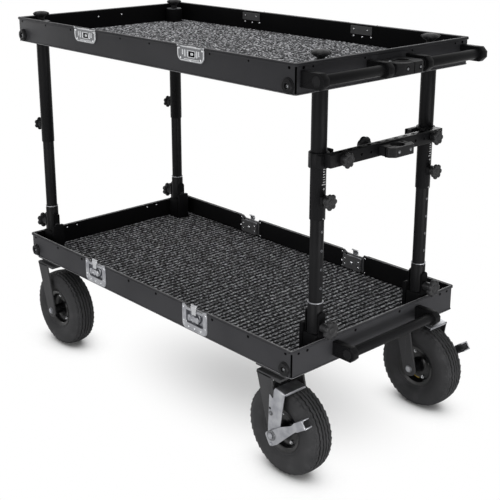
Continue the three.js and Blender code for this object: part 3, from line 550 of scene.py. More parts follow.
def trayWall(rim, path):
    # the shell, and which of its faces lie on the inner side, where the decks' darker coat shows as painted
    # shade
    foot, t, flange, sheet = wallHeight, wall["thickness"], wall["flange"], wall["flangeSheet"]
    profile = rimProfile + [
        (0, wall["panTop"]), (0, wall["panFoot"]), (0, foot - 4.2), (0.5, foot - 3.4), (1.8, foot - 3.0),
        (2, foot - 0.8), (1.2, foot), (-flange, foot), (-flange, foot - sheet), (-t - 0.6, foot - sheet),
        (-t, foot - sheet - 0.6), (-t, wall["panFoot"]), (-t, wall["panTop"])]
    rows, cols, outer = len(profile), len(path), len(rimProfile)
    faces = gridFaces(rows, cols, True, True)
    pans = np.flatnonzero(path[:, 8] > 0)
    inside = faces[:, 0] // cols >= rows - wall["innerPoints"]
    if len(pans):
        # the wall opens behind each latch pan; four strips line the opening
        row, col = faces[:, 0] // cols, faces[:, 0] % cols
        kept = ~(np.isin(col, pans) & ((row == outer) | (row == rows - 2)))
        faces, inside = faces[kept], inside[kept]
        a, b, c, e = outer * cols, (outer + 1) * cols, (rows - 2) * cols, (rows - 1) * cols
        lining = [quad for j, k in zip(pans, pans + 1) for quad in (
            (a + j, a + k, e + k, e + j), (b + k, b + j, c + j, c + k),
            (b + j, a + j, e + j, c + j), (a + k, b + k, c + k, e + k))]
        faces = np.concatenate([faces, np.array(lining)])
        inside = np.concatenate([inside, np.zeros(len(lining), bool)])
    return outward(carryRound(profile, outer, rim, path), [faces]), inside


def trayTrim(rim, path):
    # painted highlight: a light strip on the inner top of the wall, and one on the lip's edge along its foot
    foot = wallHeight
    edge = [(-4.1, 1.5), (-3.7, 0.3), (-2.8, -0.12), (-1.1, -0.02), (-0.6, 0.9), (-1.2, 1.4),
            (-3.4, 1.7)]
    lip = [(1.6, foot - 2.3), (2.1, foot - 1.9), (2.15, foot - 1.3), (1.6, foot - 0.9)]
    return [outward(carryRound(section, rows, rim, path),
                    [gridFaces(len(section), len(path), True, True)])
            for section, rows in ((edge, len(edge)), (lip, 0))]


cornerSeam = {"angle": 26.0, "rise": 0.25, "top": 8.4, "foot": 3.2, "slotHalf": 4.0, "slotTop": 8.6,
              "slotFoot": 15.4, "slotRound": 3.2, "slotRise": 0.15, "longInset": 21.5, "endInset": 25.0}


def cornerSeams(rim):
    # where the end wall meets the long wall at a corner: a dark upright seam, and on each side a slot drawn
    # near-black as painted shade
    seam, r, shells = cornerSeam, wall["corner"], []
    half, angle = seam["slotHalf"], seam["angle"]
    for corner in corners.values():
        sx, sy = corner["x"], corner["y"]
        centre = (sx * (halfLength - r), sy * (halfWidth - r))
        middle = math.degrees(math.atan2(sy, sx))
        band = np.concatenate([arc(centre, r + seam["rise"], middle - angle, middle + angle, 6),
                               arc(centre, r - 1, middle + angle, middle - angle, 6)])
        shells.append(slab(band, "z", rim - seam["top"], rim - wallHeight + seam["foot"], 0.05))
        for axis, at, face, side in (("y", sx * (halfLength - seam["longInset"]), halfWidth, sy),
                                     ("x", sy * (halfWidth - seam["endInset"]), halfLength, sx)):
            slot = rectangle(at - half, at + half, rim - seam["slotFoot"], rim - seam["slotTop"],
                             seam["slotRound"], 5)
            shells.append(slab(slot, axis, side * (face - 1), side * (face + seam["slotRise"]), 0.05))
    return shells


# Marks on a pressed plate: each row is (x, depth below the rim, half width, half height, corner)
def plateMarks(rows, sx, sy, rim, low, high):
    x = sx * latchX
    marks = [rectangle(x + u - halfU, x + u + halfU, rim - v - halfV, rim - v + halfV, r, 4)
             for u, v, halfU, halfV, r in rows]
    return onSide([slab(mark, "y", low, high, 0.15) for mark in marks], sy)


dish = {"half": 53.0, "height": 72.0, "plate": 2.2, "corner": 16.0, "ears": 0.6,
        "opening": (36.0, 13.0, 53.0), "floor": 9.6, "pivot": 33.0, "borderInset": 1.8, "borderWidth": 4.6,
        "borderRise": 0.9, "backPlate": 1.6, "panTail": 9.6}
dishShadows = [(-26.5, 10, 2.6, 7, 2), (-15, 15.5, 1.9, 4.5, 1.5), (26.5, 26, 2.2, 4, 1.8),
               (26.5, 38.5, 2, 4, 1.8), (13.5, 40.5, 1.6, 2.5, 1.4), (30, 16.5, 4.2, 2.4, 1.2)]
dishRivets = [(-46.5, 10.5), (46.5, 10.5), (-46, 50), (46, 50), (-26, 63.5), (0, 63.5), (26, 63.5)]
panTails = [(0, 33, 5.6, 2.6), (-28, 24, 3.2, 1.7), (28, 24, 3.2, 1.7), (-28, 42, 3.2, 1.7),
            (28, 42, 3.2, 1.7), (-40.5, 34, 3.0, 1.6)]
wallTails = [(-47, 9), (47, 9), (-45, 56), (47, 56), (2, 60)]


def panOutline(x, rim, grow, radius, steps=6):
    # the latch pan's outline, wider by the same amount all round
    half, top, low = wall["panHalf"] + grow, wall["panTop"] - grow, wall["panFoot"] + grow
    return rectangle(x - half, x + half, rim - low, rim - top, radius, steps)


def latchDish(sx, sy):
    # pressed plate with a raised border, and the pan pressed back through the wall
    x, rim, face, thick = sx * latchX, lowerRim, halfWidth, dish["plate"]
    half, foot, floor = dish["half"], rim - dish["height"], face - dish["floor"]
    ear, notch = rim - dish["ears"], rim - wall["notchDepth"]
    stop = wall["notchHalf"]
    outer = filleted([(x - half, foot), (x + half, foot), (x + half, ear), (x + stop, ear), (x + stop, notch),
                      (x - stop, notch), (x - stop, ear), (x - half, ear)],
                     [dish["corner"], dish["corner"], 1.5, 1, 1, 1, 1, 1.5], 8)
    openHalf, openTop, openFoot = dish["opening"]
    opening = rectangle(x - openHalf, x + openHalf, rim - openFoot, rim - openTop, 5, 6)
    centre = (x, rim - dish["pivot"])
    shells = [framePlate(outer, opening, "y", face, face + thick, 0.7, centre, 160)]
    top = notch - 0.4
    border = inset(filleted([(x - half, foot), (x + half, foot), (x + half, top), (x - half, top)],
                            [dish["corner"], dish["corner"], 2, 2], 8), dish["borderInset"])
    shells.append(framePlate(border, inset(border, dish["borderWidth"]), "y", face + 1.6,
                             face + thick + dish["borderRise"], 0.6, centre, 96))
    lining = [(panOutline(x, rim, 0, 6), face - 12), (panOutline(x, rim, 0, 6), face + 0.6),
              (opening, face + 0.6), (panOutline(x, rim, -3, 5), floor)]
    points = np.concatenate([lay("y", flat[:, 0], flat[:, 1], depth) for flat, depth in lining])
    count = len(opening)
    loop = np.arange(count)[None]
    shells.append(outward(points, [gridFaces(4, count, False, True), loop[:, ::-1], loop + 3 * count]))
    # the pan's floor rises to a round boss under the wing
    shells.append(turned([(12.4, -2), (12.4, 5.4), (13.4, 6.6), (15.6, 6.6), (17.4, 4.4), (18.4, 0),
                          (18.4, -2)], "y", (x, floor, centre[1]), 40))
    # painted shade: near-black patches and a wedge on the pan's floor where its slots lie in shadow
    wedge = filleted([(x + 21.5, rim - 51.5), (x + 34.4, rim - 42), (x + 34.4, rim - 51.5)], 0.6, 2)
    dark = plateMarks(dishShadows, sx, sy, rim, floor - 0.5, floor + 0.4)
    dark += onSide([slab(wedge, "y", floor - 0.3, floor + 0.6, 0.1)], sy)
    rivets = [roundHead(x + u, sy * (face + thick), rim - v, "y", sy, 3.0, 1.5) for u, v in dishRivets]
    inside, back, tail = halfWidth - wall["thickness"], dish["backPlate"], dish["panTail"]
    backs = [framePlate(rectangle(x - 43, x + 43, rim - 57.2, rim - 8.6, 2, 4), panOutline(x, rim, 0, 2, 4),
                        "y", inside - back, inside, 0.5, centre),
             slab(panOutline(x, rim, -0.4, 3, 4), "y", inside - tail, inside - tail + back, 0.5)]
    rivets += [roundHead(x + u, sy * (inside - tail), rim - v, "y", -sy, radius, rise)
               for u, v, radius, rise in panTails]
    rivets += [roundHead(x + u, sy * inside, rim - v, "y", -sy, 3.2, 1.6) for u, v in wallTails]
    return onSide(shells, sy), rivets, onSide(backs, sy), dark


keeper = {"half": 54.0, "height": 42.0, "plate": 2.2, "corner": 18.0, "window": (4.0, 21.0, 13.0, 7.0),
          "raise": 1.6, "borderWidth": 3.6}
keeperPress = [(-22, 20, 3.2, 9, 1.5), (-31, 18, 2.6, 7, 1.5), (25, 20, 3.0, 9, 1.5), (33, 18, 2.6, 7, 1.5),
               (-12, 20, 1.6, 9, 1), (4, 34.5, 30, 1.3, 1.0)]
keeperRivets = [(-46, 9), (46, 9), (-40, 33), (0, 38), (40, 33)]
keeperTails = [(-30, 37), (4, 38), (38, 37)]
backTails = [(-28, 17), (24, 17)]


def keeperPlate(sx, sy):
    # plate at the upper tray's rim: raised border, a window with painted shade behind it and the catch that
    # the hook takes
    x, rim, face, near = sx * latchX, upperRim, halfWidth, halfWidth + keeper["raise"]
    half, foot, top = keeper["half"], rim - keeper["height"], rim - 0.6
    outer = filleted([(x - half, foot), (x + half, foot), (x + half, top), (x - half, top)],
                     [keeper["corner"], keeper["corner"], 1.5, 1.5], 8)
    u, v, halfU, halfV = keeper["window"]
    window = rectangle(x + u - halfU, x + u + halfU, rim - v - halfV, rim - v + halfV, 2, 5)
    centre = (x + u, rim - v)
    shells = [framePlate(outer, window, "y", face, face + keeper["plate"], 0.7, centre, 128)]
    border, lip = inset(outer, 1.6), inset(window, -2.6)
    catch = rectangle(x + u - 5.5, x + u + 5.5, rim - v - 3.4, rim - v + 3.4, 1.5, 4)
    ledge = rectangle(x - 12, x + 22, rim - 4.6, rim - 0.8, 1.4, 4)
    inner = inset(border, keeper["borderWidth"])
    # painted highlight: the raised border, the window's lip, the catch, the ledge and the pressed marks are
    # made in the brighter polished steel, the plate itself in the darker zinc
    bright = [framePlate(border, inner, "y", near, face + 3.0, 0.6, centre, 128),
              framePlate(lip, window, "y", near, face + 3.2, 0.6, centre, 64),
              slab(catch, "y", face + 0.1, face + 1.7, 0.5), slab(ledge, "y", near, face + 3.4, 0.7)]
    bright = onSide(bright, sy) + plateMarks(keeperPress, sx, sy, rim, face + 1.4, face + 2.9)
    # painted shade: a near-black patch behind the window
    dark = plateMarks([(u, v, halfU - 0.2, halfV - 0.2, 1.8)], sx, sy, rim, face - 0.4, face + 0.3)
    front, inside = face + keeper["plate"], halfWidth - wall["thickness"]
    rivets = [roundHead(x + a, sy * front, rim - b, "y", sy, 3.2, 1.6) for a, b in keeperRivets]
    behind = inside - dish["backPlate"]
    back = slab(rectangle(x - 41, x + 41, rim - 31, rim - 6, 3, 4), "y", behind, inside, 0.5)
    rivets += [roundHead(x + a, sy * inside, rim - b, "y", -sy, 3.4, 1.8) for a, b in keeperTails]
    rivets += [roundHead(x + a, sy * behind, rim - b, "y", -sy, 2.6, 1.3) for a, b in backTails]
    return onSide(shells, sy), bright + rivets, onSide([back], sy), dark


# Corner bumpers on the long sides: a coated disc dished in the middle round a screw
pad = {"endInset": 24.0, "drop": 54.0, "screwOff": (0.9, -0.6), "profile": [
    (0, -0.3), (19, -0.3), (19, 2.6), (18.3, 3.4), (17.0, 3.6), (16.8, 6.4), (16.0, 7.6), (14.6, 8),
    (12.6, 8), (12.0, 7.3), (11.2, 7.3), (10.6, 8), (8.6, 8), (7.0, 7.2), (6.4, 3.0), (0, 2.6)]}


def bumper(corner, rim):
    place = (corner["x"] * (halfLength - pad["endInset"]), halfWidth, rim - pad["drop"])
    ring = turned(pad["profile"], "y", place, 40)
    # painted shade: a near-black disc in the dish's hollow
    well = turned([(0, 2.7), (6.2, 2.9), (6.3, 3.6), (0, 3.3)], "y", place, 24)
    screw = turned([(0, 2.9), (4.2, 2.9), (4.2, 5.0), (3.4, 5.8), (1.9, 6.0), (1.7, 4.8), (0, 4.6)], "y",
                   (place[0] + pad["screwOff"][0], place[1], place[2] + pad["screwOff"][1]), 20)
    return onSide([ring, well, screw], corner["y"])


# Small dark screws near the rim: places along the long walls as the photo has them, and on the ends
wallScrews = {"long": (-453, -315, -68, 63.5, 310, 452), "end": (-270, -90, 90, 270), "drop": 12.5,
              "lower": 4.4, "upper": 2.8}


# Rivet ends on the inner side of the far end wall: across the tray, below the rim
farEndRivets = {"lower": [(-193, 11.4), (-153, 11.4), (150, 11.4), (191, 11.4)],
                "upper": [(-29, 23.4), (65, 23.4), (64, 63.4)]}


def screwHeads(rim, which):
    radius, z, heads = wallScrews[which], rim - wallScrews["drop"], []
    for side in (-1, 1):
        heads += [roundHead(x, side * halfWidth, z, "y", side, radius, 0.7) for x in wallScrews["long"]]
        heads += [roundHead(side * halfLength, y, z, "x", side, radius, 0.7) for y in wallScrews["end"]]
    return heads


def makeTrays():
    for which, rim, body in trays:
        lower = which == "lower"
        path = trayPath(dish["half"] if lower else keeper["half"], lower)
        shell, inside = trayWall(rim, path)
        addPiece(f"{which}_tray_wall", shell, "trayCoat", body, (f"{which}_frame",), 30,
                 inside=inside)
        # painted highlight strips along the rim and the foot lip
        addPiece(f"{which}_rim_highlight", trayTrim(rim, path), "rimHighlight", body, (), 30)
        pads, wells, screws = zip(*(bumper(corner, rim) for corner in corners.values()))
        made = [(latchDish if lower else keeperPlate)(sx, sy) for sx, sy in latchPlaces.values()]
        plates, rivets, backs, dark = (sum(group, []) for group in zip(*made))
        addPiece(f"{which}_bumpers", list(pads), "milledBlack", body)
        addPiece(f"{which}_bumper_screws", list(screws), "shadedZinc", body)
        addPiece("latch_dishes" if lower else "latch_keepers", plates, "zinc" if lower else "shadedZinc", body)
        rivets += [roundHead(wall["thickness"] - halfLength, y, rim - drop, "x", 1, 3.4, 1.6)
                   for y, drop in farEndRivets[which]]
        addPiece(f"{which}_rivets", rivets, "rivetSteel", body)
        addPiece(f"{which}_backing_plates", backs, "backPlate", body)
        # near-black marks: painted shade in the pans, behind the keepers' windows, in the bumpers' hollows
        # and the corner slots; also the corner seams and small dark screw heads
        marks = dark + list(wells) + cornerSeams(rim) + screwHeads(rim, which)
        addPiece(f"{which}_wall_marks", marks, "darkHole", body)
    print("trays made")


# Decks, post feet and sockets
deck = {"inset": 4.4, "low": 3.3, "high": 8.3}
foot = {"earHalf": 12.0, "earFrom": 20.4, "earTo": 25.0, "earTop": 56.0, "blockHalf": 20.0,
        "blockFrom": 24.0, "blockReach": 36.0, "blockTop": 28.0, "floorHalf": 21.0, "floorTop": 7.6,
        "pivot": 28.0, "base": 8.4}


def footBracket(corner):
    # two narrow ears beside the post and a rounded block inboard of them
    x, y, out = corner["postX"], corner["postY"], corner["x"]
    base, half, ear = lowerRim - wallHeight + foot["base"], foot["blockHalf"], foot["earHalf"]
    top, blockTop = lowerRim + foot["earTop"] + ear, lowerRim + foot["blockTop"]
    plate = filleted([(y - ear, base), (y + ear, base), (y + ear, top), (y - ear, top)],
                     [0.5, 0.5, ear - 0.1, ear - 0.1], 12)
    shells = [slab(plate, "x", x + s * foot["earFrom"], x + s * foot["earTo"], 0.9) for s in (-1, 1)]
    near, far = x - out * foot["blockFrom"], x - out * foot["blockReach"]
    side = filleted([(near, base), (far, base), (far, blockTop), (near, blockTop)], [1, 1, 4, 1], 5)
    shells.append(slab(side, "y", y - half, y + half, 1.2))
    shells.append(box(x - foot["floorHalf"], x + foot["floorHalf"], y - half, y + half, base,
                      lowerRim + foot["floorTop"]))
    heads = [roundHead(x - out * 30.5, y + dy, blockTop - 0.2, "z", 1, 3.2, 1.2) for dy in (-12, 12)]
    pins = [roundHead(x - out * foot["earTo"], y, lowerRim + foot["pivot"], "x", -out, 7, 3)]
    return shells, heads + pins


cup = {"bore": 20.3, "drop": 16.0, "roof": 12.0, "boltHole": 6.6, "flange": 29.0, "block": 40.0}


def socket(corner):
    # a cup over the tube's end: open below, with a roof that the top knob's bolt goes through
    base, top = upperRim - wallHeight + deck["high"], upperRim - cup["drop"]
    bore, roof, flange = cup["bore"], top - cup["roof"], cup["flange"]
    profile = [(bore, base), (flange, base), (flange, base + 9.5), (flange - 1, base + 10.5),
               (27.2, base + 11.5), (27, top - 2.2), (26.3, top - 0.7), (25, top), (cup["boltHole"], top),
               (cup["boltHole"], roof), (bore, roof)]
    return turned(profile, "z", (corner["postX"], corner["postY"], 0), 40)


def piercedDeck(low, high):
    # the upper deck in three strips, with a square round each post's hole at the corners
    block, shells, ends = cup["block"], [], {}
    halfX, halfY = halfLength - deck["inset"], halfWidth - deck["inset"]
    for corner in corners.values():
        x, y, sx, sy = corner["postX"], corner["postY"], corner["x"], corner["y"]
        outline = rectangle(x - sx * block, sx * halfX, y - sy * block, sy * halfY)
        shells.append(framePlate(outline, circle(cup["bore"], (x, y)), "z", low, high, 0.05, (x, y), 192))
        ends.setdefault(sx, [x - sx * block]).append(y - sy * block)
    for sx, (near, *sides) in ends.items():
        shells.append(box(near, sx * halfX, *sides, low, high, 0.05, 0.1))
    shells.append(box(ends[-1][0], ends[1][0], -halfY, halfY, low, high, 0.05, 0.1))
    return shells


def makeDecks():
    halfX, halfY = halfLength - deck["inset"], halfWidth - deck["inset"]
    for which, rim, body in trays:
        low, high = rim - wallHeight + deck["low"], rim - wallHeight + deck["high"]
        if which == "lower":
            solids, heads = zip(*(footBracket(corner) for corner in corners.values()))
            shells = [box(-halfX, halfX, -halfY, halfY, low, high, 0.5, 1)] + sum(solids, [])
            addPiece("foot_bracket_screws", sum(heads, []), "milledBlack", body)
        else:
            shells = piercedDeck(low, high) + [socket(corner) for corner in corners.values()]
        # the decks, foot blocks and sockets take the darker coat: painted shade
        addPiece(f"{which}_deck_plate", shells, "shadedCoat", body, (f"{which}_deck",))
    print("decks made")


# Carpets: ribs across the tray, z = top - a (1 - cos(2 pi x / pitch)) / 2 + small loops
rib = {"pitch": 18.0, "depth": 2.6, "loop": 0.9, "perRib": 6, "rows": 118, "low": 8.6, "high": 16.6,
       "edge": 5.5, "edgeDrop": 2.4, "edgeRound": 5.0, "seed": 7, "footCut": (60.0, 38.0, 22.0),
       "socketCut": 30.5}


def carpetShell(floor, cutouts):
    low, high = floor + rib["low"], floor + rib["high"]
    halfX, halfY = halfLength - rib["edge"], halfWidth - rib["edge"]
    cols, rows = int(round(2 * halfX / rib["pitch"])) * rib["perRib"] + 1, rib["rows"]
    xs, ys = np.linspace(-halfX, halfX, cols), np.linspace(-halfY, halfY, rows)
    gx, gy = np.meshgrid(xs, ys, indexing="ij")
    wander = 0.35 * np.sin(gy * 0.021 + gx * 0.013) + 0.3 * np.sin(gy * 0.057 - gx * 0.008)
    loops = np.random.default_rng(rib["seed"]).random(gx.shape) - 0.5
    crest = (1 + np.cos(2 * math.pi * gx / rib["pitch"] + wander)) / 2
    height = high - rib["loop"] / 2 - rib["depth"] * (1 - crest) + rib["loop"] * loops
    edge = np.minimum(halfX - np.abs(gx), halfY - np.abs(gy))
    height -= rib["edgeDrop"] * np.clip(1 - edge / rib["edgeRound"], 0, 1) ** 2
    keep = np.ones(gx.shape, bool)
    for test in cutouts:
        keep &= ~test(gx, gy)
    top = np.stack([gx, gy, height], -1).reshape(-1, 3)
    faces = gridFaces(cols, rows, False, False)
    faces = faces[keep.reshape(-1)[faces].all(1)]
    # sides: every edge that only one face uses drops to the backing
    a, b = faces.reshape(-1), faces[:, [1, 2, 3, 0]].reshape(-1)
    rim = ~np.isin(a.astype(np.int64) * len(top) + b, b.astype(np.int64) * len(top) + a)
    base = top * np.array([1, 1, 0]) + np.array([0, 0, low])
    sides = np.stack([b[rim], a[rim], a[rim] + len(top), b[rim] + len(top)], -1)
    under = faces[:, ::-1] + len(top)
    points = np.concatenate([top, base])
    used = np.unique(np.concatenate([faces.reshape(-1), under.reshape(-1)]))
    renumber = np.full(len(points), -1)
    renumber[used] = np.arange(len(used))
    area = len(faces) * (xs[1] - xs[0]) * (ys[1] - ys[0])
    weights = np.concatenate([crest.reshape(-1), np.zeros(crest.size)])[used].astype(np.float32)
    return outward(points[used], [renumber[faces], renumber[under], renumber[sides]]), area, weights


def squareCut(corner):
    x, y, out = corner["postX"], corner["postY"], corner["x"]
    outer, inner, half = rib["footCut"]
    low, high = sorted((x + out * outer, x - out * inner))
    return lambda gx, gy: (gx > low) & (gx < high) & (np.abs(gy - y) < half)


def roundCut(corner):
    x, y = corner["postX"], corner["postY"]
    return lambda gx, gy: (gx - x) ** 2 + (gy - y) ** 2 < rib["socketCut"] ** 2


def makeCarpets():
    for (which, rim, body), cut in zip(trays, (squareCut, roundCut)):
        shell, area, weights = carpetShell(rim - wallHeight, [cut(corner) for corner in corners.values()])
        piece = addPiece(f"{which}_carpet_pile", shell, "carpet", body, (f"{which}_carpet",), 180,
                         weights)
    print("carpets made")


# Posts: telescoping tubes with a sleeve, a bright ring, index holes and a painted scale
tube = {"outer": 20.0, "outerBore": 18.1, "roof": 12.0, "boltHole": 6.4, "inner": 17.6, "bore": 15.0,
        "sleeve": 90.0, "pitch": 50.0, "firstHole": 130.0, "lastHole": 300.0, "hole": 2.4,
        "tickFoot": 402.0, "tickPitch": 6.4, "ticks": 10, "footTick": 6.4, "tick": 3.6, "dotRise": 391.0,
        "knobRise": 52.0, "bossHalf": 12.0, "boss": (16.5, 27.0)}


def innerPost(name, corner):
    x, y, out = corner["postX"], corner["postY"], corner["x"]
    low, high = nodeBox(f"inner_post_{name}")
    ring, outer, inner, bore = lowerRim + tube["sleeve"], tube["outer"], tube["inner"], tube["bore"]
    profile = [(bore, low[2]), (outer - 0.8, low[2]), (outer, low[2] + 0.8), (outer, ring - 5),
               (inner + 1, ring - 2), (inner + 1, ring), (inner, ring + 0.4), (inner, high[2] - 0.6),
               (inner - 0.6, high[2]), (bore, high[2])]
    addPiece(f"inner_tube_{name}", turned(profile, "z", (x, y, 0), 40), "tubeBlack", "base",
             (f"inner_post_{name}",))
    collar = turned([(17.7, ring), (20.1, ring), (20.6, ring + 0.5), (20.6, ring + 1.9), (20.1, ring + 2.4),
                     (17.7, ring + 2.4)], "z", (x, y, 0), 40)
    # index holes on the outward side: a thin bright edge round a near-black disc, painted shade for the hole
    holes, edges = [], [collar]
    for z in np.arange(lowerRim + tube["firstHole"], lowerRim + tube["lastHole"], tube["pitch"]):
        start, face, hole = x + out * (bore - 1), x + out * inner, tube["hole"]
        holes.append(bevelledRod(hole, start, face - out * 0.1, "x", (0, y, z), 0.3, 16))
        edges.append(tubeShell(hole + 0.8, hole, start, face + out * 0.08, "x", (0, y, z), 0.2, 16))
    addPiece(f"index_holes_{name}", holes, "darkHole", "base")
    addPiece(f"index_rims_{name}", edges, "zinc", "base")


def outerPost(name, corner):
    x, y, out = corner["postX"], corner["postY"], corner["x"]
    low, high = nodeBox(f"outer_post_{name}")
    outer, bore, hole, roof = tube["outer"], tube["outerBore"], tube["boltHole"], high[2] - tube["roof"]
    profile = [(bore, low[2] + 0.4), (bore + 0.4, low[2]), (outer - 0.4, low[2]), (outer, low[2] + 0.6),
               (outer, high[2] - 0.6), (outer - 0.6, high[2]), (hole, high[2]), (hole, roof), (bore, roof)]
    half, knobZ = tube["bossHalf"], low[2] + tube["knobRise"]
    boss = rectangle(y - half, y + half, knobZ - half, knobZ + half, 5, 4)
    start, end = (x + out * reach for reach in tube["boss"])
    addPiece(f"outer_tube_{name}", [turned(profile, "z", (x, y, 0), 40), slab(boss, "x", start, end, 1.2)],
             "tubeBlack", "upper_tray", (f"outer_post_{name}",))
    # the scale: short ticks with a longer one at its foot, a dot, and a bright pin at the tube's end
    ticks, middle = [], 0 if out > 0 else 180
    for i in range(tube["ticks"]):
        z = lowerRim + tube["tickFoot"] + tube["tickPitch"] * i
        half = math.degrees((tube["tick"] if i else tube["footTick"]) / outer)
        band = np.concatenate([arc((x, y), outer + 0.15, middle - half, middle + half, 8),
                               arc((x, y), outer - 0.6, middle + half, middle - half, 8)])
        ticks.append(slab(band, "z", z - 1.1, z + 1.1, 0.1))
    dotZ = lowerRim + tube["dotRise"]
    ticks.append(bevelledRod(2.6, x + out * 18, x + out * (outer + 0.15), "x", (0, y, dotZ), 0.3, 16))
    ticks.append(bevelledRod(2.0, x + out * 17, x + out * (outer + 0.2), "x", (0, y, low[2] + 4), 0.3, 12))
    addPiece(f"scale_ticks_{name}", ticks, "tickPaint", "upper_tray")


# Star knobs: seven broad lobes, radius times 1 - dip ((1 - cos 7 t) / 2) squared
knobs = {
    "foot": {"reach": 55.0, "radius": 25.0, "thick": 13.0, "hubFrom": 25.3, "boltFrom": -20.0, "dip": 4.6},
    "height": {"reach": 43.0, "radius": 21.0, "thick": 9.0, "hubFrom": 27.3, "boltFrom": 18.0, "dip": 4.0},
    "bar": {"reach": 66.0, "radius": 20.0, "thick": 10.0, "hubFrom": 49.3, "boltFrom": -25.0, "dip": 3.8},
}
hubRadius, boltRadius, lobes = 12.5, 4.9, 7
# rounded rim, a shallow dish in the face and a raised cap in its middle: shares of radius and thickness
starShares = [(0, 0), (0.55, 0), (0.8, 0.05), (0.95, 0.16), (1, 0.34), (1, 0.66), (0.965, 0.85),
              (0.88, 0.97), (0.78, 1), (0.62, 0.95), (0.46, 0.84), (0.42, 0.84), (0.38, 0.93), (0.3, 0.97),
              (0, 0.99)]


def starWave(radius, dip):
    # the lobes fade out towards the knob's middle
    def wave(rings, t):
        depth = dip / radius * np.clip((rings[:, :1] / radius - 0.45) / 0.4, 0, 1)
        return 1 - depth * ((1 - np.cos(lobes * t)) / 2) ** 2
    return wave


def starKnob(radius, dip, start, thick, centre, sign):
    # the knob's axis is x, and its face looks to the side of the sign
    profile = np.array(starShares) * (radius, thick)
    shell = flipped(turned(profile, "x", (0, 0, 0), 84, starWave(radius, dip)), x=sign)
    return moved(moved(shell, start), *centre)


def sideKnob(name, kind, sign, x, y, z):
    k = knobs[kind]
    start, near = k["reach"] - k["thick"] / 2, k["hubFrom"]
    star = starKnob(k["radius"], k["dip"], x + sign * start, k["thick"], (0, y, z), sign)
    hub = turned([(0, near), (hubRadius - 2, near), (hubRadius - 0.8, near + 1), (hubRadius - 0.6, start - 3),
                  (hubRadius, start + 0.5), (0, start + 0.5)], "x", (0, 0, 0), 28)
    shells = [star, moved(flipped(hub, x=sign), x, y, z)]
    addPiece(f"{name}_grip", shells, "knobNylon", name, (name,))
    start, end = x + sign * k["boltFrom"], x + sign * (near + 1)
    bolt = bevelledRod(boltRadius, start, end, "x", (0, y, z), 0.8, 20)
    addPiece(f"{name}_bolt", bolt, "shadedZinc", name)


# Top knobs: a dome with seven lobes, a cone under it and a neck on a light washer
crownKnob = {"radius": 25.5, "dip": 4.4, "star": 21.0, "thick": 11.0, "neck": 10.0, "neckTop": 13.0,
             "washer": 25.5, "bolt": 5.9, "boltFoot": 26.0}


def topKnob(name, corner):
    x, y, top, k = corner["postX"], corner["postY"], upperRim - cup["drop"], crownKnob
    radius, low, neckTop = k["radius"], top + k["star"], top + k["neckTop"]
    high = low + k["thick"]
    profile = [(0, neckTop), (k["neck"], neckTop), (radius * 0.7, low - 3.4), (radius * 0.94, low + 0.6),
               (radius, low + 2.2), (radius, low + 4.6), (radius * 0.95, high - 4.4),
               (radius * 0.8, high - 2.4), (radius * 0.55, high - 0.8), (radius * 0.3, high - 0.1), (0, high)]
    star = turned(profile, "z", (x, y, 0), 84, starWave(radius, k["dip"]))
    neck = turned([(0, top + 2.4), (12, top + 2.4), (k["neck"] + 0.2, top + 4.4), (k["neck"], neckTop + 0.4),
                   (0, neckTop + 0.4)], "z", (x, y, 0), 32)
    node = f"top_knob_{name}"
    addPiece(f"{node}_grip", [star, neck], "knobNylon", node, (node,))
    disc = k["washer"]
    washer = turned([(0, top + 0.3), (disc - 0.7, top + 0.3), (disc, top + 0.9), (disc, top + 1.9),
                     (disc - 0.9, top + 2.4), (0, top + 2.4)], "z", (x, y, 0), 40)
    bolt = bevelledRod(k["bolt"], top - k["boltFoot"], top + 1, "z", (x, y, 0), 1, 20)
    addPiece(f"{node}_washer", [washer, bolt], "shadedZinc", node)


def makePosts():
    for name, corner in corners.items():
        innerPost(name, corner)
        outerPost(name, corner)
        x, y, out = corner["postX"], corner["postY"], corner["x"]
        sideKnob(f"foot_knob_{name}", "foot", out, x, y, lowerRim + foot["pivot"])
        knobZ = nodeBox(f"outer_post_{name}")[0][2] + tube["knobRise"]
        sideKnob(f"height_knob_{name}", "height", out, x, y, knobZ)
        topKnob(name, corner)
    print("posts and knobs made")


# Wheels: pneumatic tyres on two-piece pressed rims
tyre = {"steps": 252, "notches": 84, "notchDepth": 1.1, "waves": 42, "swing": 1.3}
tyreHalf = [
    (54, 22.5), (58, 26.5), (60.5, 27.8), (62, 29.2), (66, 31.5), (67, 31.3), (68.5, 33), (76, 37.2),
    (84, 40), (90, 40.9), (96, 40.7), (102, 39.6), (106, 38.1), (107.5, 37.0), (110, 36.0), (113, 34.2),
    (115.2, 33.2), (118.4, 31.0), (119.6, 29.2), (118.8, 27.0), (119.2, 25.2), (121.4, 24.0), (122.4, 22.4),
    (122.9, 19.4), (122.4, 18.0), (118.8, 17.2), (118.8, 14.8), (123.0, 14.0), (123.8, 12.0), (124.1, 8.0),
    (123.7, 6.8), (119.6, 6.0), (119.6, 3.6), (124.0, 2.8), (124.5, 1.2),
]


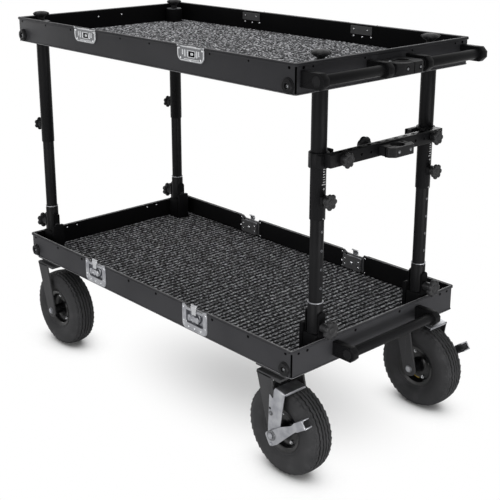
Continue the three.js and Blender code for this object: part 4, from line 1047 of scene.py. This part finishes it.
def tyreShell(corner):
    # section r(a), w(a) turned round the wheel; the tread's ribs wander, w += swing sin(n t),
    # and small notches run round the shoulder, r -= depth sin(m t)
    t = np.arange(tyre["steps"]) * 2 * math.pi / tyre["steps"]
    half = np.array(tyreHalf)
    inner = [(54, -21), (60, -20), (84, -32), (112, -27), (116, 0), (112, 27), (84, 32), (60, 20), (54, 21)]
    section = np.concatenate([half, half[::-1] * np.array([1, -1]), inner])
    r, w = section[:, :1], section[:, 1:]
    outside = (np.arange(len(section)) < 2 * len(half))[:, None]
    wavy = outside * np.clip((r - 114) / 4, 0, 1) * np.clip((np.abs(w) - 2) / 6, 0, 1)
    swing = tyre["swing"] * wavy * np.sin(tyre["waves"] * t + np.where(w > 0, 0, math.pi))
    shoulder = outside * np.exp(-((r - 116.5) / 3.0) ** 2) * (np.abs(w) > 28)
    radius = r - shoulder * (0.4 + tyre["notchDepth"] * np.clip(np.sin(tyre["notches"] * t) * 2.5, -1, 1))
    points = lay("y", radius * np.cos(t), radius * np.sin(t), w + swing).reshape(-1, 3)
    shell = outward(points, [gridFaces(len(section), len(t), True, True)])
    return moved(shell, corner["axleX"], corner["stemY"], corner["axleZ"])


rimParts = {
    "boltCircle": 40.0, "boltPhase": (23, 113, 203, 293), "boltRadius": 5.8, "studRadius": 3.2,
    "markRadius": 43.0, "markWidth": 2.6, "markFrom": -110, "markTo": -86, "valveAngle": -126,
    "valveRadius": 3.4,
    "half": [(53, 22.6), (57, 24.8), (59.6, 27.2), (60.6, 28.6), (60.2, 29.4), (58.4, 29.0), (55.6, 27.4),
             (52.0, 26.6), (49.6, 25.0), (48.6, 22.0), (47.6, 12.0), (44.5, 8.4), (36, 6.6), (24, 7.2),
             (19.5, 9.5), (17.4, 14.0), (16.2, 20.0), (15.6, 44.0), (15.0, 50.8), (13.6, 51.6), (6.5, 51.6)],
}


def wheelRim(name, corner):
    body, place, p = f"wheel_{name}", (corner["axleX"], corner["stemY"], corner["axleZ"]), rimParts
    half = np.array(p["half"])
    rim = turned(np.concatenate([half, half[::-1] * np.array([1, -1])]), "y", place, 64)
    bolts = []
    for side in (-1, 1):
        parts = [turned([(9, 50.2), (14.6, 50.2), (14.6, 51.2), (13.8, 51.7), (9, 51.7)], "y", (0, 0, 0), 32)]
        for angle in np.radians(p["boltPhase"]):
            spot = p["boltCircle"] * np.array([math.cos(angle), math.sin(angle)])
            parts.append(slab(circle(p["boltRadius"], spot, 6, angle), "y", 5.8, 11.5, 0.8))
            parts.append(bevelledRod(p["studRadius"], 11, 14.5, "y", (spot[0], 0, spot[1]), 0.8, 14))
        bolts += [moved(flipped(part, y=side), *place) for part in parts]
    # a curved paint mark on the inner side's disc beside a bolt
    radius, start, end = p["markRadius"], p["markFrom"], p["markTo"]
    band = np.concatenate([arc((0, 0), radius + p["markWidth"], start, end, 8),
                           arc((0, 0), radius, end, start, 8)])
    mark = moved(flipped(slab(band, "y", 6.6, 9.6, 0.2), y=-corner["y"]), *place)
    angle, reach = math.radians(p["valveAngle"]), p["boltCircle"]
    valve = bevelledRod(p["valveRadius"], 20, 38, "y", (reach * math.cos(angle), 0, reach * math.sin(angle)),
                        1, 16)
    valve = moved(flipped(valve, y=-corner["y"]), *place)
    addPiece(f"wheel_{name}_rim", rim, "rimEnamel", body, (f"wheel_rim_{name}",))
    addPiece(f"wheel_{name}_bolts", bolts, "rivetSteel", body)
    addPiece(f"wheel_{name}_valve", valve, "valveRubber", body)
    addPiece(f"wheel_{name}_mark", mark, "valveYellow", body)


def hexBolt(near, radius, height, washer):
    # washer, hexagon and the thread's end, along +Y from the face it sits on
    return [turned([(0, near - 0.2), (washer - 0.6, near - 0.2), (washer, near + 0.4),
                    (washer - 0.6, near + 1.6), (0, near + 1.6)], "y", (0, 0, 0), 32),
            slab(circle(radius, (0, 0), 6, 0.3), "y", near + 1.4, near + height - 1, 1.0),
            bevelledRod(radius * 0.52, near + 1, near + height, "y", (0, 0, 0), 0.8, 20)]


# Forks: a pressed crown with two leaning legs, the turning race above and the axle below
fork = {"in": 52.0, "out": 58.0, "crown": 44.0, "legTop": 10.0, "low": 276.0, "high": 284.0,
        "footRadius": 22.0, "race": 30.0, "pinNut": 12.0, "pinEnd": 7.0, "pin": 9.9, "axle": 5.9,
        "boltOut": 68.3, "axleEnd": 69.0}


def casterFork(name, corner):
    x, y, ax, az = corner["stemX"], corner["stemY"], corner["axleX"], corner["axleZ"]
    high = fork["high"]
    leg = np.concatenate([arc((ax, az), fork["footRadius"], 180, 360, 16),
                          filleted([(x + fork["legTop"], high), (x - fork["crown"], high), (x - 20, 190),
                                    (x + 40, 190)], [1, 6, 0, 0], 4)[:-2]])
    shells = [slab(leg, "y", y + s * fork["in"], y + s * fork["out"], 1.6) for s in (-1, 1)]
    crown = rectangle(y - fork["out"], y + fork["out"], fork["low"] - 0.5, high, [1, 1, 6, 6], 5)
    shells.append(slab(crown, "x", x - fork["crown"], x + fork["crown"], 2.0))
    addPiece(f"caster_fork_{name}_legs", shells, "forkEnamel", f"caster_{name}",
             (f"caster_fork_{name}",))
    # turning race with its seal, king pin nut under the crown
    low, ring = fork["low"], fork["race"]
    race = [turned([(0, high - 0.5), (ring - 1, high - 0.5), (ring, high + 0.6), (ring, high + 2),
                    (ring - 0.8, high + 2.9), (0, high + 2.9)], "z", (x, y, 0), 44),
            slab(circle(fork["pinNut"], (x, y), 6), "z", low - 5.6, low, 1.0),
            bevelledRod(fork["pinEnd"], low - 6.8, low - 1, "z", (x, y, 0), 1, 20),
            bevelledRod(fork["pin"], high, high + 14, "z", (x, y, 0), 1, 24)]
    addPiece(f"caster_swivel_{name}", race, "shadedZinc", f"caster_{name}")
    heads, washers = [], []
    for side in (-1, 1):
        braked = corner["braked"] and side == corner["y"]
        washer, *bolt = hexBolt(fork["boltOut" if braked else "out"], 8.6, 6.0, 14.5 if braked else 11)
        washers.append(moved(flipped(washer, y=side), ax, y, az))
        heads += [moved(flipped(shell, y=side), ax, y, az) for shell in bolt]
    near, far = corner["y"] * fork["out"], corner["y"] * fork["axleEnd" if corner["braked"] else "out"]
    heads.append(bevelledRod(fork["axle"], y - near, y + far, "y", (ax, 0, az), 0.5, 20))
    addPiece(f"axle_bolts_{name}", heads, "zinc", f"caster_{name}")
    # the washers in the darker zinc paint a shaded ring round each bright head
    addPiece(f"axle_washers_{name}", washers, "shadedZinc", f"caster_{name}")


plate = {"halfX": 60.0, "halfY": 50.0, "boltX": 46.0, "boltY": 36.0, "top": 2.8, "thick": 10.8}


def topPlate(name, corner):
    x, y, high = corner["stemX"], corner["stemY"], lowerRim - wallHeight + plate["top"]
    low, halfX, halfY = high - plate["thick"], plate["halfX"], plate["halfY"]
    sheet = box(x - halfX, x + halfX, y - halfY, y + halfY, low, high, 1.2, 9)
    addPiece(f"caster_plate_{name}", sheet, "forkEnamel", "base")
    shells = [turned([(11, low + 1), (30, low + 1), (31.4, low - 0.4), (31.4, low - 1.8), (30.4, low - 2.9),
                      (11, low - 2.9)], "z", (x, y, 0), 44)]
    for dx in (-plate["boltX"], plate["boltX"]):
        for dy in (-plate["boltY"], plate["boltY"]):
            shells.append(slab(circle(7, (x + dx, y + dy), 6), "z", low - 3.6, low + 0.2, 0.9))
            shells.append(bevelledRod(4, low - 4.8, low - 3, "z", (x + dx, y + dy, 0), 0.8, 16))
    addPiece(f"caster_race_{name}", shells, "shadedZinc", "base")


# Brakes: a bracket folded over the wheel and a lever on the axle, each 3 mm zinc-plated sheet
brake = {"plateIn": 58.1, "plateOut": 61.0, "roofFrom": 28.0, "roofTo": 63.0, "roofSpan": 76.0,
         "roofHigh": 257.6, "roofLow": 251.6, "shoulderX": 9.0, "shoulderZ": 228.7, "foot": 20.0,
         "thick": 3.0, "bend": 3.2, "flangeFoot": 245.0, "spacer": 11.0, "boltAt": (15.0, 182.0),
         "holeAt": (11.5, 195.0), "leverIn": 65.1, "leverOut": 68.0, "leverAngle": 34.0,
         "stopAt": (-15.0, -19.5), "pedalFrom": 106.0, "pedalTo": 136.0, "pedalHalf": 12.0, "pedalIn": 43.2}
leverOutline = [(-21.5, 12.6), (47.6, 12.6), (89.8, 7.6), (103.4, 12), (136, 12), (136, -12), (104, -12),
                (95.2, -10.1), (47.6, -18.7), (6, -26.6), (-14, -26), (-23, -20)]
leverRounds = [8, 10, 20, 5, 1.5, 1.5, 5, 8, 60, 10, 8, 8]


def brakeBracket(name, corner):
    x, y, ax, az, side = corner["stemX"], corner["stemY"], corner["axleX"], corner["axleZ"], corner["y"]
    b = brake
    inner, outer, thick = b["plateIn"], b["plateOut"], b["thick"]
    start, end, high, low = x + b["roofFrom"], x + b["roofTo"], b["roofHigh"], b["roofLow"]
    stepX, stepZ = x + b["shoulderX"], b["shoulderZ"]
    leg = np.concatenate([arc((ax, az), b["foot"], 180, 360, 14),
                          [(end, low - 1.6), (start, high - 1.6), (start - 4, high - 8),
                           (start - 5.5, stepZ + 1), (start - 8, stepZ - 3), (stepX + 1, stepZ + 5),
                           (stepX - 1, stepZ + 3)]])
    roof = filleted([(start, high - thick), (end, low - thick), (end, low), (start, high)], 0.6, 2)
    lip = filleted([(end - thick, b["flangeFoot"]), (end, b["flangeFoot"]), (end, low),
                    (end - thick, low + 0.5)], [0.6, 0.6, 1.4, 0.6], 3)
    bend, bendFaces = bevelledRod(b["bend"], start, end, "x", (0, outer - b["bend"], 0), 0.6, 16)
    bend[:, 2] += high - b["bend"] - 0.2 - (bend[:, 0] - start) * (high - low) / (end - start)
    shells = [slab(leg, "y", inner, outer, 0.8), slab(roof, "y", outer - b["roofSpan"], outer - 2, 0.8),
              slab(lip, "y", outer - b["roofSpan"], outer - 1, 0.8), (bend, bendFaces),
              bevelledRod(b["spacer"], outer - 0.4, b["leverIn"] - 0.4, "y", (ax, 0, az), 0.6, 28)]
    shells = [moved(flipped(shell, y=side), 0, y) for shell in shells]
    addPiece(f"brake_bracket_{name}", shells, "zinc", f"caster_{name}")
    (boltX, boltZ), (holeX, holeZ) = b["boltAt"], b["holeAt"]
    bolt = [moved(flipped(part, y=side), x + boltX, y, boltZ) for part in hexBolt(outer, 4.4, 4.4, 6.6)]
    addPiece(f"brake_bracket_bolt_{name}", bolt, "shadedZinc", f"caster_{name}")
    # painted shade: a near-black disc for the hole in the plate
    hole = flipped(bevelledRod(3.4, outer - 1, outer + 0.2, "y", (x + holeX, 0, holeZ), 0.1, 16), y=side)
    addPiece(f"brake_bracket_hole_{name}", moved(hole, 0, y), "darkHole", f"caster_{name}")


def brakeLever(name, corner):
    # drawn flat, u along the lever and v across it, then turned up by the lever's angle
    b, side, (stopU, stopV) = brake, corner["y"], brake["stopAt"]
    shells = [slab(filleted(leverOutline, leverRounds, 6), "y", b["leverIn"], b["leverOut"], 0.8),
              bevelledRod(4.4, b["leverIn"] - 3, b["leverOut"] + 2.4, "y", (stopU, 0, stopV), 0.8, 18)]
    for edge in (-1, 1):
        out = edge * b["pedalHalf"]
        strip = rectangle(b["pedalFrom"], b["pedalTo"], out, out - edge * b["thick"], 0.5, 2)
        shells.append(slab(strip, "y", b["pedalIn"], b["leverOut"] - 0.6, 0.7))
        shells.append(bevelledRod(2.6, b["pedalFrom"], b["pedalTo"], "x",
                                  (0, b["leverOut"] - 2.7, out - edge * 2.7), 0.4, 14))
    shells = [moved(flipped(rotated(shell, "y", -b["leverAngle"]), y=side), corner["axleX"], corner["stemY"],
                    corner["axleZ"]) for shell in shells]
    node = f"brake_lever_{name}"
    addPiece(f"{node}_plate", shells, "zinc", f"brake_{name}", (node,))


def makeCasters():
    for name, corner in corners.items():
        addPiece(f"tyre_{name}_tread", tyreShell(corner), "tyre", f"wheel_{name}",
                 (f"tyre_{name}",), 50)
        wheelRim(name, corner)
        casterFork(name, corner)
        topPlate(name, corner)
        if corner["braked"]:
            brakeBracket(name, corner)
            brakeLever(name, corner)
    print("casters made")


# Handles: milled brackets on the end wall with a grip tube whose ends show as plugs
handle = {"reach": 51.0, "drop": 37.0, "tube": 13.4, "far": 73.0, "half": 19.5, "chamfer": 12.0,
          "wide": 20.0, "plug": 12.8, "outer": 312.0, "inner": 65.0, "lower": 178.0, "screwAt": 12.0}


def handleSet(name, node, z, body, spans):
    out, half, far, cut = halfLength, handle["half"], handle["far"], handle["chamfer"]
    outline = filleted([(out + 0.3, z - half), (out + far - cut, z - half), (out + far, z - half + cut),
                        (out + far, z + half - cut), (out + far - cut, z + half), (out + 0.3, z + half)],
                       [1, 0.8, 0.8, 0.8, 0.8, 1], 2)
    low, high = spans[0][0], spans[-1][1]
    shells = [slab(outline, "y", start, end, 1.5) for start, end in spans]
    shells.append(bevelledRod(handle["tube"], low + 1, high - 1, "y", (out + handle["reach"], 0, z), 1, 40))
    plugs = []
    for face, side in ((low, -1), (high, 1)):
        ring = turned([(0, 0.1), (10.2, 0.1), (10.8, 0.9), (12.2, 1.2), (handle["plug"], 0.6),
                       (handle["plug"], -0.5), (0, -0.5)], "y", (0, 0, 0), 36)
        plugs.append(moved(flipped(ring, y=side), out + handle["reach"], face, z))
    for start, end in spans:
        x, y = out + handle["screwAt"], (start + end) / 2
        plugs += [roundHead(x, y, z + s * (half - 0.2), "z", s, 3.4, 1.0) for s in (-1, 1)]
    addPiece(name, shells, "tubeBlack", body, (node,))
    addPiece(f"{name}_plugs", plugs, "milledBlack", body)


# Pole clamp: a block with an upright hole in a raised ring, split at the front, with set screws
pole = {"reach": 80.0, "half": 49.0, "chamfer": 16.0, "height": 14.0, "hole": 17.5, "holeAt": 40.0,
        "ring": 23.0, "slitFrom": 63.0, "screws": (-24, 24), "topScrew": (30.0, -33.0)}


def makePoleClamp(z):
    out, half, far, cut, tall = halfLength, pole["half"], pole["reach"], pole["chamfer"], pole["height"]
    centre = (out + pole["holeAt"], 0)
    outline = filleted([(out + 0.4, -half), (out + far - cut, -half), (out + far, cut - half),
                        (out + far, half - cut), (out + far - cut, half), (out + 0.4, half)],
                       [1, 0.8, 0.8, 0.8, 0.8, 1], 2)
    hole, top = circle(pole["hole"], centre, 96), z + tall
    block = [framePlate(outline, hole, "z", z - tall, top, 1.3, centre, 96),
             tubeShell(pole["ring"], pole["hole"], top - 0.5, top + 1.6, "z", (*centre, 0), 0.5, 48)]
    addPiece("pole_clamp_block", block, "milledBlack", "upper_tray", ("pole_clamp",))
    # painted shade: the split and rings round the set screws as near-black marks
    dark = [box(out + pole["slitFrom"], out + far + 0.3, -0.9, 0.9, z - tall - 0.2, z + tall + 0.2, 0.1, 0.1)]
    dark += [slab(circle(6, (y, z), 24), "x", out + far - 1, out + far + 0.2, 0.1) for y in pole["screws"]]
    addPiece("pole_clamp_slit", dark, "darkHole", "upper_tray")
    topX, topY = pole["topScrew"]
    screws = [roundHead(out + topX, topY, z + tall, "z", 1, 4.2, 1.2)]
    screws += [roundHead(out + far + 0.1, y, z, "x", 1, 3.6, 1.0) for y in pole["screws"]]
    addPiece("pole_clamp_screws", screws, "shadedZinc", "upper_tray")


def makeHandles():
    upperZ, lowerZ, wide = upperRim - handle["drop"], lowerRim - handle["drop"], handle["wide"]
    outer, inner, lower = handle["outer"], handle["inner"], handle["lower"]
    handleSet("push_handle_left", "upper_handle_left", upperZ, "upper_tray",
              [(-outer, wide - outer), (-inner - wide, -inner)])
    handleSet("push_handle_right", "upper_handle_right", upperZ, "upper_tray",
              [(inner, inner + wide), (outer - wide, outer)])
    handleSet("lower_handle_bar", "lower_handle", lowerZ, "base",
              [(-lower, wide - lower), (lower - wide, lower)])
    makePoleClamp(upperZ)
    print("handles made")


# Crossbar: a box section with slots on top and a row of holes in front, saddles and jaws round the posts
bar = {"back": 27.0, "front": 49.0, "height": 33.0, "half": 217.0, "collar": 25.3, "bore": 20.4, "drop": 6.0,
       "collarHeight": 38.0, "saddle": 22.0, "holePitch": 35.0, "firstHole": -141.0, "firstSlot": -173.0,
       "slots": 11, "holes": 9, "hole": 4.0, "slotAt": (33.5, 42.5), "slotHalf": 7.0, "knobInset": 34.0,
       "armHalf": 12.0, "armFrom": 150.0, "armNose": 157.0}
stand = {"height": 25.0, "drop": 4.0, "footHalf": 44.0, "footReach": 25.0, "jawHalf": 48.0, "reach": 50.0,
         "chamfer": 14.0, "hole": 19.3, "holeAt": 23.0, "seam": (19.0, 48.2), "pinAt": (12.0, 33.0),
         "screws": (-22, 22), "knobRadius": 25.0, "knobDip": 1.8}


def makeCrossbar():
    postX, postY = corners["handle_right"]["postX"], corners["handle_right"]["postY"]
    high = nodeBox("crossbar")[0][2] + bar["drop"] + bar["height"]
    low, middle = high - bar["height"], high - bar["height"] / 2
    back, front, collar, hole = postX + bar["back"], postX + bar["front"], bar["collar"], bar["bore"]
    footZ, topZ = low - bar["drop"], low - bar["drop"] + bar["collarHeight"]

    def halfRing(y, start, end, steps):
        # half of the collar round a post, from one angle to the other
        return slab(np.concatenate([arc((postX, y), collar, start, end, steps),
                                    arc((postX, y), hole, end, start, steps)]), "z", footZ, topZ, 0.9)

    shells = [slab(rectangle(back, front, low, high, 1.6, 4), "y", -bar["half"], bar["half"], 1.0)]
    for y in (-postY, postY):
        shells.append(halfRing(y, -88.5, 88.5, 24))
        half = bar["saddle"]
        saddle = np.concatenate([[(postX + 8, y - half), (back + 1, y - half), (back + 1, y + half),
                                  (postX + 8, y + half)], arc((postX, y), hole, 66, -66, 16)])
        shells.append(slab(saddle, "z", footZ + 3, topZ - 3, 0.9))
    addPiece("crossbar_profile", shells, "tubeBlack", "crossbar", ("crossbar",))
    # painted shade: the slots on top and the holes in front are near-black marks
    dark, edges = [], []
    near, far = (postX + reach for reach in bar["slotAt"])
    for i in range(bar["slots"]):
        y, half = bar["firstSlot"] + bar["holePitch"] * i, bar["slotHalf"]
        slot = rectangle(near, far, y - half, y + half, 4.4, 5)
        dark.append(slab(slot, "z", high - 1.2, high + 0.15, 0.1))
    for i in range(bar["holes"]):
        y, radius = bar["firstHole"] + bar["holePitch"] * i, bar["hole"]
        dark.append(bevelledRod(radius, front - 1, front + 0.12, "x", (0, y, middle), 0.1, 20))
        edges.append(tubeShell(radius + 0.9, radius, front - 1, front + 0.3, "x", (0, y, middle), 0.15, 20))
    addPiece("crossbar_holes", dark, "darkHole", "crossbar")
    addPiece("crossbar_hole_edges", edges, "milledBlack", "crossbar")
    for name, side in (("left", -1), ("right", 1)):
        shells, half, start = [halfRing(side * postY, 91.5, 268.5, 28)], bar["armHalf"], side * bar["armFrom"]
        for reach, end in ((12, postY - 13), (22, bar["armNose"])):
            arm = rectangle(postX - collar, postX - collar + reach, start, side * end, 3, 4)
            shells.append(slab(arm, "z", middle - half, middle + half, 1.2))
        addPiece(f"bar_jaw_{name}", shells, "milledBlack", "crossbar", (f"bar_clamp_{name}",))
        sideKnob(f"bar_clamp_knob_{name}", "bar", 1, postX, side * (postY - bar["knobInset"]), middle)
    makeStandClamp(front, back, high - stand["drop"], middle)
    print("crossbar made")


def makeStandClamp(front, back, top, middle):
    # a foot on the bar's front face, a wider split jaw and an upright hole with a lighter chamfer
    s, low = stand, top - stand["height"]
    reach, step, cut = front + s["reach"], front + s["footReach"], s["chamfer"]
    right = [(front + 0.3, s["footHalf"]), (step, s["footHalf"]), (step, s["jawHalf"]),
             (reach - cut, s["jawHalf"]), (reach, s["jawHalf"] - cut)]
    outline = filleted([(u, -v) for u, v in right] + right[::-1], [1, 1, 2, 3, 4, 4, 3, 2, 1, 1], 4)
    centre = (front + s["holeAt"], 0)
    clamp = framePlate(outline, circle(s["hole"], centre, 128), "z", low, top, 1.1, centre, 128)
    addPiece("stand_clamp_body", clamp, "milledBlack", "crossbar", ("stand_clamp",))
    (near, far), (pinX, pinY) = s["seam"], s["pinAt"]
    # painted shade: the split's gaps and a pin hole as near-black marks
    seams = [box(step + 0.2, step + 2.4, *span, low - 0.2, top + 0.15, 0.1, 0.1)
             for span in ((-far, -near), (near, far))]
    seams.append(bevelledRod(4.2, top - 1, top + 0.15, "z", (front + pinX, pinY, 0), 0.1, 20))
    addPiece("stand_clamp_seam", seams, "darkHole", "crossbar")
    addPiece("stand_clamp_screws", [roundHead(reach, y, top - 12, "x", 1, 4.6, 1.4) for y in s["screws"]],
             "shadedZinc", "crossbar")
    y, node = nodeMiddle("stand_clamp_knob")[1], "stand_clamp_knob"
    star = starKnob(s["knobRadius"], s["knobDip"], back - 26, 12, (0, y, middle), -1)
    hub = bevelledRod(hubRadius, back - 27, back - 0.4, "x", (0, y, middle), 1, 28)
    addPiece(f"{node}_grip", [star, hub], "knobNylon", node, (node,))


# Latches: a wing that turns on the dish and a hook that it lifts
wing = {"half": 23.0, "tip": 11.0, "waist": 6.5, "near": 5.4, "thick": 2.0, "boss": 8.8, "cornerRound": 5.0,
        "fold": (16.0, 22.0, 8.0)}
hook = {"half": 9.0, "curlHalf": 12.5, "near": 2.6, "far": 4.9, "curl": 2.5, "curlAt": 2.2,
        "cap": (-10.5, 12.0, 16.0, 4.0)}


def makeLatches():
    for name, (sx, sy) in latchPlaces.items():
        node, x, face, near = f"latch_wing_{name}", sx * latchX, halfWidth, halfWidth + wing["near"]
        z = float(nodeMiddle(node)[2])
        half, tip, waist, neck = wing["half"], wing["tip"], wing["waist"], wing["boss"]
        lower = [(x - half, z - tip), (x - neck, z - waist), (x + neck, z - waist), (x + half, z - tip)]
        upper = [(x + half, z + tip), (x + neck, z + waist), (x - neck, z + waist), (x - half, z + tip)]
        shells = [slab(filleted(lower + upper, wing["cornerRound"], 4), "y", near, near + wing["thick"], 0.8),
                  turned([(0, -9.6), (neck, -9.6), (neck, 7.2), (8.2, 8.0), (5.4, 8.2), (4.6, 7.4),
                          (0, 7.2)], "y", (x, face, z), 28)]
        start, end, tall = wing["fold"]
        for edge in (-1, 1):
            fold = rectangle(x + edge * start, x + edge * end, z - tall, z + tall, 2, 3)
            shells.append(slab(fold, "y", near + 1.6, near + 2.8, 0.5))
        addPiece(f"{node}_plate", onSide(shells, sy), "zinc", node, (node,))
        node, half, curl, curlHalf = f"latch_hook_{name}", hook["half"], hook["curl"], hook["curlHalf"]
        bottom, top = (end[2] for end in nodeBox(node))
        start, end, capFoot, capTop = hook["cap"]
        cap = rectangle(x + start, x + end, top - capFoot, top - capTop, 2, 3)
        shells = [slab(rectangle(x - half, x + half, bottom, top - 1, 1.5, 3), "y", face + hook["near"],
                       face + hook["far"], 0.6),
                  bevelledRod(curl, x - curlHalf, x + curlHalf, "x", (0, face + hook["curlAt"], top - curl),
                              0.8, 20),
                  slab(cap, "y", face + 3.6, face + 6.2, 0.9)]
        addPiece(f"{node}_plate", onSide(shells, sy), "rivetSteel", node, (node,))
    print("latches made")


# Camera, lights, floor
camera = {"place": (2.1737, -1.9115, 1.4485), "yaw": 48.1576, "pitch": 16.5487, "roll": -0.1294,
          "lens": 71.481, "sensor": 36, "shiftX": 0.03, "shiftY": -0.12, "sees": 100}
light = {"world": 0.5, "key": 28.0, "front": 6.5, "fill": 11.0, "back": 9.0, "farEnd": 8.0, "low": 6.5,
         "lowEnd": 6.0}
floorLook = {"half": 15, "white": 0.93, "lift": 0.18, "fadeFrom": 0.02, "fadeTo": 0.38, "squash": 0.62,
             "centre": 0.12, "contact": 0.13, "darkest": 0.3}


def makeCamera():
    data = bpy.data.cameras.new("camera")
    data.lens, data.sensor_width = camera["lens"], camera["sensor"]
    data.shift_x, data.shift_y = camera["shiftX"], camera["shiftY"]
    data.clip_end = camera["sees"]
    item = bpy.data.objects.new("camera", data)
    bpy.context.scene.collection.objects.link(item)
    yaw, pitch, roll = (math.radians(camera[k]) for k in ("yaw", "pitch", "roll"))
    forward = Vector((-math.sin(yaw) * math.cos(pitch), math.cos(yaw) * math.cos(pitch), -math.sin(pitch)))
    turn = forward.to_track_quat("-Z", "Y").to_matrix().to_4x4() @ Matrix.Rotation(roll, 4, "Z")
    item.matrix_world = Matrix.Translation(Vector(camera["place"]) + Vector((middleX / mm, 0, 0))) @ turn
    bpy.context.scene.camera = item


def areaLamp(name, place, size, power, target=(0, 0, 0.6), cone=180):
    data = bpy.data.lights.new(name, "AREA")
    data.shape, data.size, data.size_y, data.energy = "RECTANGLE", size[0], size[1], power
    data.spread = math.radians(cone)
    lamp = bpy.data.objects.new(name, data)
    bpy.context.scene.collection.objects.link(lamp)
    lamp.location = place
    lamp.rotation_euler = (Vector(target) - Vector(place)).to_track_quat("-Z", "Y").to_euler()


def combined(tree, operation, first, second):
    node = addNode(tree, "ShaderNodeMath", {"operation": operation}, {0: first, 1: second})
    return node.outputs[0]


def seenRay(tree):
    # 1 for what the camera sees straight, in a mirror or through glass
    path = addNode(tree, "ShaderNodeLightPath")
    straight = combined(tree, "MAXIMUM", path.outputs["Is Camera Ray"], path.outputs["Is Transmission Ray"])
    return combined(tree, "MAXIMUM", straight, path.outputs["Is Glossy Ray"])


def makeFloor():
    # matt white paper with painted contact shade: its colour darkens close to what stands on it.
    # Where it is seen it glows towards white: a little under the cart, fully beyond an ellipse round it,
    # and not where a wheel touches
    half, white, look = floorLook["half"], floorLook["white"], floorLook
    mesh = bpy.data.meshes.new("floor")
    mesh.from_pydata([(-half, -half, 0), (half, -half, 0), (half, half, 0), (-half, half, 0)], [],
                     [(0, 1, 2, 3)])
    floor = bpy.data.objects.new("floor", mesh)
    bpy.context.scene.collection.objects.link(floor)
    material, tree, shader, place = newMaterial("whitePaperFloor", {"Roughness": 0.9,
                                                                    "Specular IOR Level": 0.1})
    glow = addNode(tree, "ShaderNodeEmission", {"Color": (1, 1, 1, 1), "Strength": 1.0})
    spot = addNode(tree, "ShaderNodeMapping", {"Scale": (look["squash"], 1, 1),
                                               "Location": (-look["centre"] * look["squash"], 0, 0)},
                   {"Vector": place})
    far = addNode(tree, "ShaderNodeVectorMath", {"operation": "LENGTH"}, {0: spot.outputs["Vector"]})
    fade = addNode(tree, "ShaderNodeMapRange",
                   {"interpolation_type": "SMOOTHSTEP", "From Min": look["fadeFrom"],
                    "From Max": look["fadeTo"], "To Min": look["lift"], "To Max": 1.0},
                   {"Value": far.outputs["Value"]})
    near = addNode(tree, "ShaderNodeAmbientOcclusion", {"Distance": look["contact"], "samples": 12})
    clear = ramp(tree, near.outputs["AO"], [(0.35, 0.0), (0.85, 1.0)])
    lifted = combined(tree, "MULTIPLY", combined(tree, "MULTIPLY", fade.outputs["Result"], clear),
                      seenRay(tree))
    # painted contact shade: the paper's colour darkens where AO finds something close
    shade = ramp(tree, near.outputs["AO"], [(0.25, look["darkest"] * white), (0.75, white)])
    tree.links.new(shade, shader.inputs["Base Color"])
    mix = addNode(tree, "ShaderNodeMixShader", links={0: lifted, 1: shader.outputs[0], 2: glow.outputs[0]})
    tree.links.new(mix.outputs[0], tree.nodes["Material Output"].inputs["Surface"])
    mesh.materials.append(material)


def makeStage():
    bpy.context.scene.view_settings.view_transform = "Standard"
    world = bpy.data.worlds.new("studio")
    bpy.context.scene.world = world
    world.use_nodes = True
    tree = world.node_tree
    back = tree.nodes["Background"]
    back.inputs["Color"].default_value = (1, 1, 1, 1)
    strength = addNode(tree, "ShaderNodeMapRange", {"To Min": light["world"], "To Max": 1.0},
                       {"Value": seenRay(tree)})
    tree.links.new(strength.outputs["Result"], back.inputs["Strength"])
    makeFloor()
    areaLamp("overhead softbox", (0.1, -0.2, 3.4), (1.8, 1.4), light["key"])
    areaLamp("front softbox", (0.5, -2.9, 0.75), (3.4, 1.2), light["front"], (0, 0, 0.28), 60)
    areaLamp("side fill", (3.2, -1.6, 1.7), (2.0, 1.6), light["fill"])
    areaLamp("back softbox", (-0.8, 3.1, 0.9), (2.4, 0.8), light["back"], (0, 0, 0.5), 110)
    areaLamp("far end fill", (-3.1, -0.4, 0.9), (1.6, 0.8), light["farEnd"], (-0.5, 0, 0.5), 110)
    areaLamp("low front strip", (0.2, -1.6, 0.42), (2.4, 0.8), light["low"], (0, -0.33, 0.24), 120)
    areaLamp("low end strip", (2.0, 0.0, 0.3), (1.4, 0.4), light["lowEnd"], (0.6, 0, 0.26), 90)


makeCamera()
makeStage()
makeTrays()
makeDecks()
makeCarpets()
makePosts()
makeCasters()
makeHandles()
makeCrossbar()
makeLatches()
